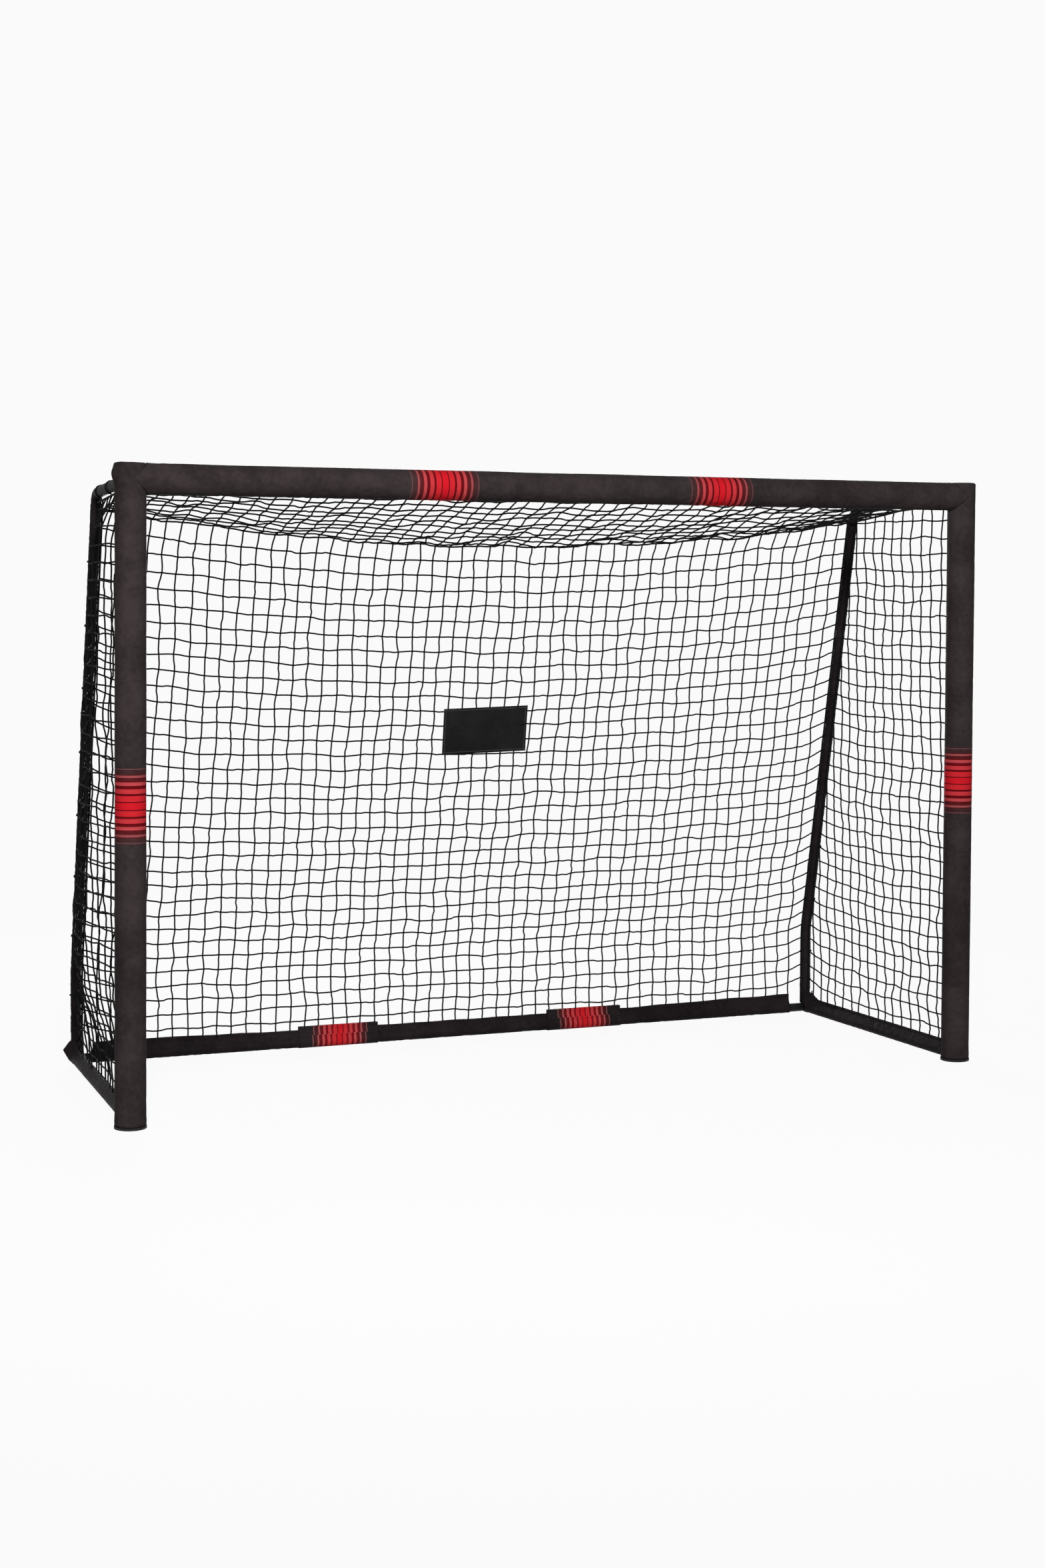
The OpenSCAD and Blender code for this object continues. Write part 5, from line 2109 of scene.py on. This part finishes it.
@dataclass(frozen=True)
class Studio:
    """Camera, light and floor."""

    place: tuple[float, float, float] = (-2.4449, -6.0020, 1.3235)
    yaw: float = 22.263
    pitch: float = 1.98
    roll: float = 0.338
    lens: float = 54.52
    shift: float = -0.0772
    paper: float = 0.956
    fill: float = 0.02
    held: Pair = (0.86, 1.118)
    fade: Pair = (1.3, 3.4)

    def camera(self) -> None:
        """Makes the camera, which looks slightly down and across the mouth from the left."""
        yaw, pitch, roll = (math.radians(a) for a in (self.yaw, self.pitch, self.roll))
        ahead = np.array([math.sin(yaw) * math.cos(pitch), math.cos(yaw) * math.cos(pitch), -math.sin(pitch)])
        right = np.array([math.cos(yaw), -math.sin(yaw), 0.0])
        up = np.cross(right, ahead)
        turned = math.cos(roll) * right + math.sin(roll) * up
        upright = -math.sin(roll) * right + math.cos(roll) * up
        data = bpy.data.cameras.new("view")
        data.sensor_width, data.lens, data.shift_y = 36.0, self.lens, self.shift
        eye = placed("view", data)
        eye.matrix_world = Matrix.Translation(self.place) @ Matrix(
            np.stack([turned, upright, -ahead], axis=1).tolist()).to_4x4()
        bpy.context.scene.camera = eye

    def lamp(self, name: str, place: Sequence[float], aim: Sequence[float], size: float,
             power: float) -> None:
        """A soft square lamp.

        Args:
            name: its name.
            place: where it stands.
            aim: what it points at.
            size: its side.
            power: its power in watts.
        """
        data = bpy.data.lights.new(name, "AREA")
        data.energy, data.size = power, size
        lamp = placed(name, data)
        lamp.visible_camera = False
        lamp.location = place
        lamp.rotation_euler = (Vector(aim) - Vector(place)).to_track_quat("-Z", "Y").to_euler()

    def seen_ray(self, graph: Graph) -> Socket:
        """1 for rays that see the background itself: camera, mirror and glass rays."""
        rays = graph.add("LightPath")
        seen = graph.math("MAXIMUM", rays.outputs["Is Camera Ray"], rays.outputs["Is Glossy Ray"])
        return graph.math("MAXIMUM", seen, rays.outputs["Is Transmission Ray"])

    def world(self) -> None:
        """A pale background with a soft even fill."""
        world = bpy.data.worlds.new("paper")
        world.use_nodes = True
        bpy.context.scene.world = world
        graph = Graph(world.node_tree)
        shade = world.node_tree.nodes["Background"]
        paper, fill = (self.paper,) * 3, (self.fill,) * 3
        graph.put(shade.inputs["Color"], graph.blend(self.seen_ray(graph), fill, paper))
        shade.inputs["Strength"].default_value = 1.0

    def floor(self) -> None:
        """A pale floor that keeps the goal's soft shadow."""
        bpy.ops.object.select_all(action="DESELECT")
        bpy.ops.mesh.primitive_plane_add(size=60.0, location=(0.0, 0.0, -0.0005))
        floor = bpy.context.active_object
        floor.name = "floor"
        bpy.ops.object.transform_apply(location=True, rotation=True, scale=True)
        look = Look("pale_floor", Roughness=0.9, Specular_IOR_Level=0.1)
        graph, place = look.graph, look.place()
        grain = graph.add("TexNoise", {"Vector": place, "Scale": 3.0})
        look.feed("Base Color", graph.blend(grain.outputs[0], (0.42, 0.42, 0.42), (0.46, 0.46, 0.46)))
        away = graph.add("VectorMath", {0: place}, operation="LENGTH").outputs["Value"]
        near, strength = self.held
        light = graph.add("Emission", {"Color": (self.paper,) * 3,
                                       "Strength": graph.step(away, *self.fade, strength, 1.0)})
        share = graph.times(self.seen_ray(graph), graph.step(away, *self.fade, near, 1.0))
        mix = graph.add("MixShader", {0: share, 1: look.shader.outputs[0], 2: light.outputs[0]})
        graph.put(look.material.node_tree.nodes["Material Output"].inputs["Surface"], mix.outputs[0])
        floor.data.materials.append(look.material)

    def build(self) -> None:
        """Sets up the whole studio."""
        bpy.context.scene.view_settings.view_transform = "Standard"
        self.camera()
        self.world()
        self.floor()
        self.lamp("front_softbox", (-2.4, -6.6, 4.2), (-0.4, 0.0, 1.0), 1.6, 640.0)
        self.lamp("right_softbox", (4.6, -4.8, 2.6), (0.6, 0.0, 0.8), 2.6, 20.0)
        self.lamp("back_softbox", (1.2, 5.8, 1.5), (0.0, 0.2, 0.8), 2.4, 260.0)


# ---- the goal


def dress(piece: Piece, finish: Material, slot: Slot, *nodes: str) -> None:
    """Puts a finished piece on the frame in place of its CAD nodes.

    Args:
        piece: the finished object.
        finish: its material.
        slot: the record's finish; not used.
        nodes: the nodes that it stands for.
    """
    piece.data.materials.append(finish)
    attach(piece, BODY)
    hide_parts(*nodes)
    log.info("%s: %d faces", piece.name, len(piece.data.polygons))


@dataclass
class Goal:
    """The whole goal, sub-assembly by sub-assembly."""

    sizes: GoalSizes
    ring_z: float = 0.780
    ring_x: float = 0.3875
    ring_centre: float = 0.0165
    press: float = 0.0040

    def frame_metal(self) -> None:
        """Gives the tubes, corners, caps and buttons their finishes and makes the leaf springs."""
        coat, bright = PowderCoat().material(), SpringSteel().material()
        finishes = {"tube": coat, "corner": coat, "elbow": coat, "button": bright,
                    "cap": MouldedPlastic().material()}
        for name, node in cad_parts.items():
            kind = name.rsplit("_", 1)[-1]
            if kind == "spring":
                self.leaf_spring(name, node, bright)
            elif kind in finishes:
                node.data.materials.clear()
                node.data.materials.append(finishes[kind])

    def leaf_spring(self, name: str, node: Piece, finish: Material) -> None:
        """Makes a leaf spring with broken edges.

        Args:
            name: the spring's node.
            node: the spring's object, whose form it takes.
            finish: its metal.
        """
        leaf = placed(name + "_leaf", node.data.copy())
        apply_modifier(leaf, "WELD", merge_threshold=0.00002)
        apply_modifier(leaf, "BEVEL", width=0.00012, segments=2, limit_method="ANGLE",
                       angle_limit=math.radians(40.0))
        leaf.data.materials.clear()
        dress(leaf, finish, Slot.SPRING, name)
        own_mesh(leaf)

    def padding(self) -> None:
        """Foam sleeves, printed covers and tapes of the posts and the crossbar."""
        goal, foam = self.sizes, ClosedFoam().material()
        cloth = CoatedCloth("pad_cloth")
        post_print = RingPrint(cloth, axis=2, middle=self.ring_z).material()
        bar_print = RingPrint(CoatedCloth("crossbar_cloth"), axis=0, middle=self.ring_x,
                              centre=self.ring_centre).material()
        tape = HookTape(width=goal.tape_w).material()
        for side in Side:
            part = f"{side.word}_post"
            low, high = goal.post_at(side, goal.foot_z + 0.0005), goal.post_at(side, goal.bar_z - 0.040)
            FoamSleeve(part, low, high, goal, foam, notch=0.026).build()
            PostCover(goal, side, post_print).build()
            NetTape(part, goal, tape, goal.post_at(side, goal.tape_low),
                    goal.post_at(side, goal.tape_high), tabs=9).build()
        axis, half = np.array([0.0, goal.front_y, goal.bar_z]), goal.tape_half
        reach = goal.post_x - goal.pad_r - 0.002
        FoamSleeve("crossbar", axis - reach * X, axis + reach * X, goal, foam).build()
        CrossbarCover(goal, bar_print).build()
        NetTape("crossbar", goal, tape, axis - half * X, axis + half * X, tabs=14).build()

    def rails(self, shape: StayShape) -> None:
        """Sleeves of the stays, covers of the ground rails and the printed wraps.

        Args:
            shape: the stays' route.
        """
        cloth = CoatedCloth("rail_cloth", (0.0092, 0.0072, 0.0076), (0.0200, 0.0158, 0.0166),
                            gloss=0.016).plain()
        wrap = LinePrint(CoatedCloth("wrap_cloth", (0.0105, 0.0082, 0.0087), (0.0220, 0.0172, 0.0180),
                                     gloss=0.020), self.sizes.wrap_x).material()
        for side in Side:
            StaySleeve(self.sizes, shape, side, cloth).build()
            SideRailCover(self.sizes, side, cloth).build()
            RearWrap(self.sizes, side, wrap).build()
        RearRailCover(self.sizes, cloth).build()

    def build(self) -> None:
        """Builds every sub-assembly in order."""
        shape = StayShape(self.sizes)
        self.frame_metal()
        self.padding()
        self.rails(shape)
        Net(self.sizes, shape, TwistedCord().material()).build()
        NetLabel(self.sizes, shape).build()


def make_groups() -> None:
    """Builds every shared node group."""
    for make in (weave_group, mottle_group, crease_group, ring_group, stitch_group, twist_group):
        make()


def main() -> None:
    """Builds the studio and the goal."""
    logging.basicConfig(level=logging.INFO, format="%(name)s: %(message)s")
    Studio().build()
    make_groups()
    Goal(GoalSizes.from_frame()).build()


if __name__ == "__main__":
    main()
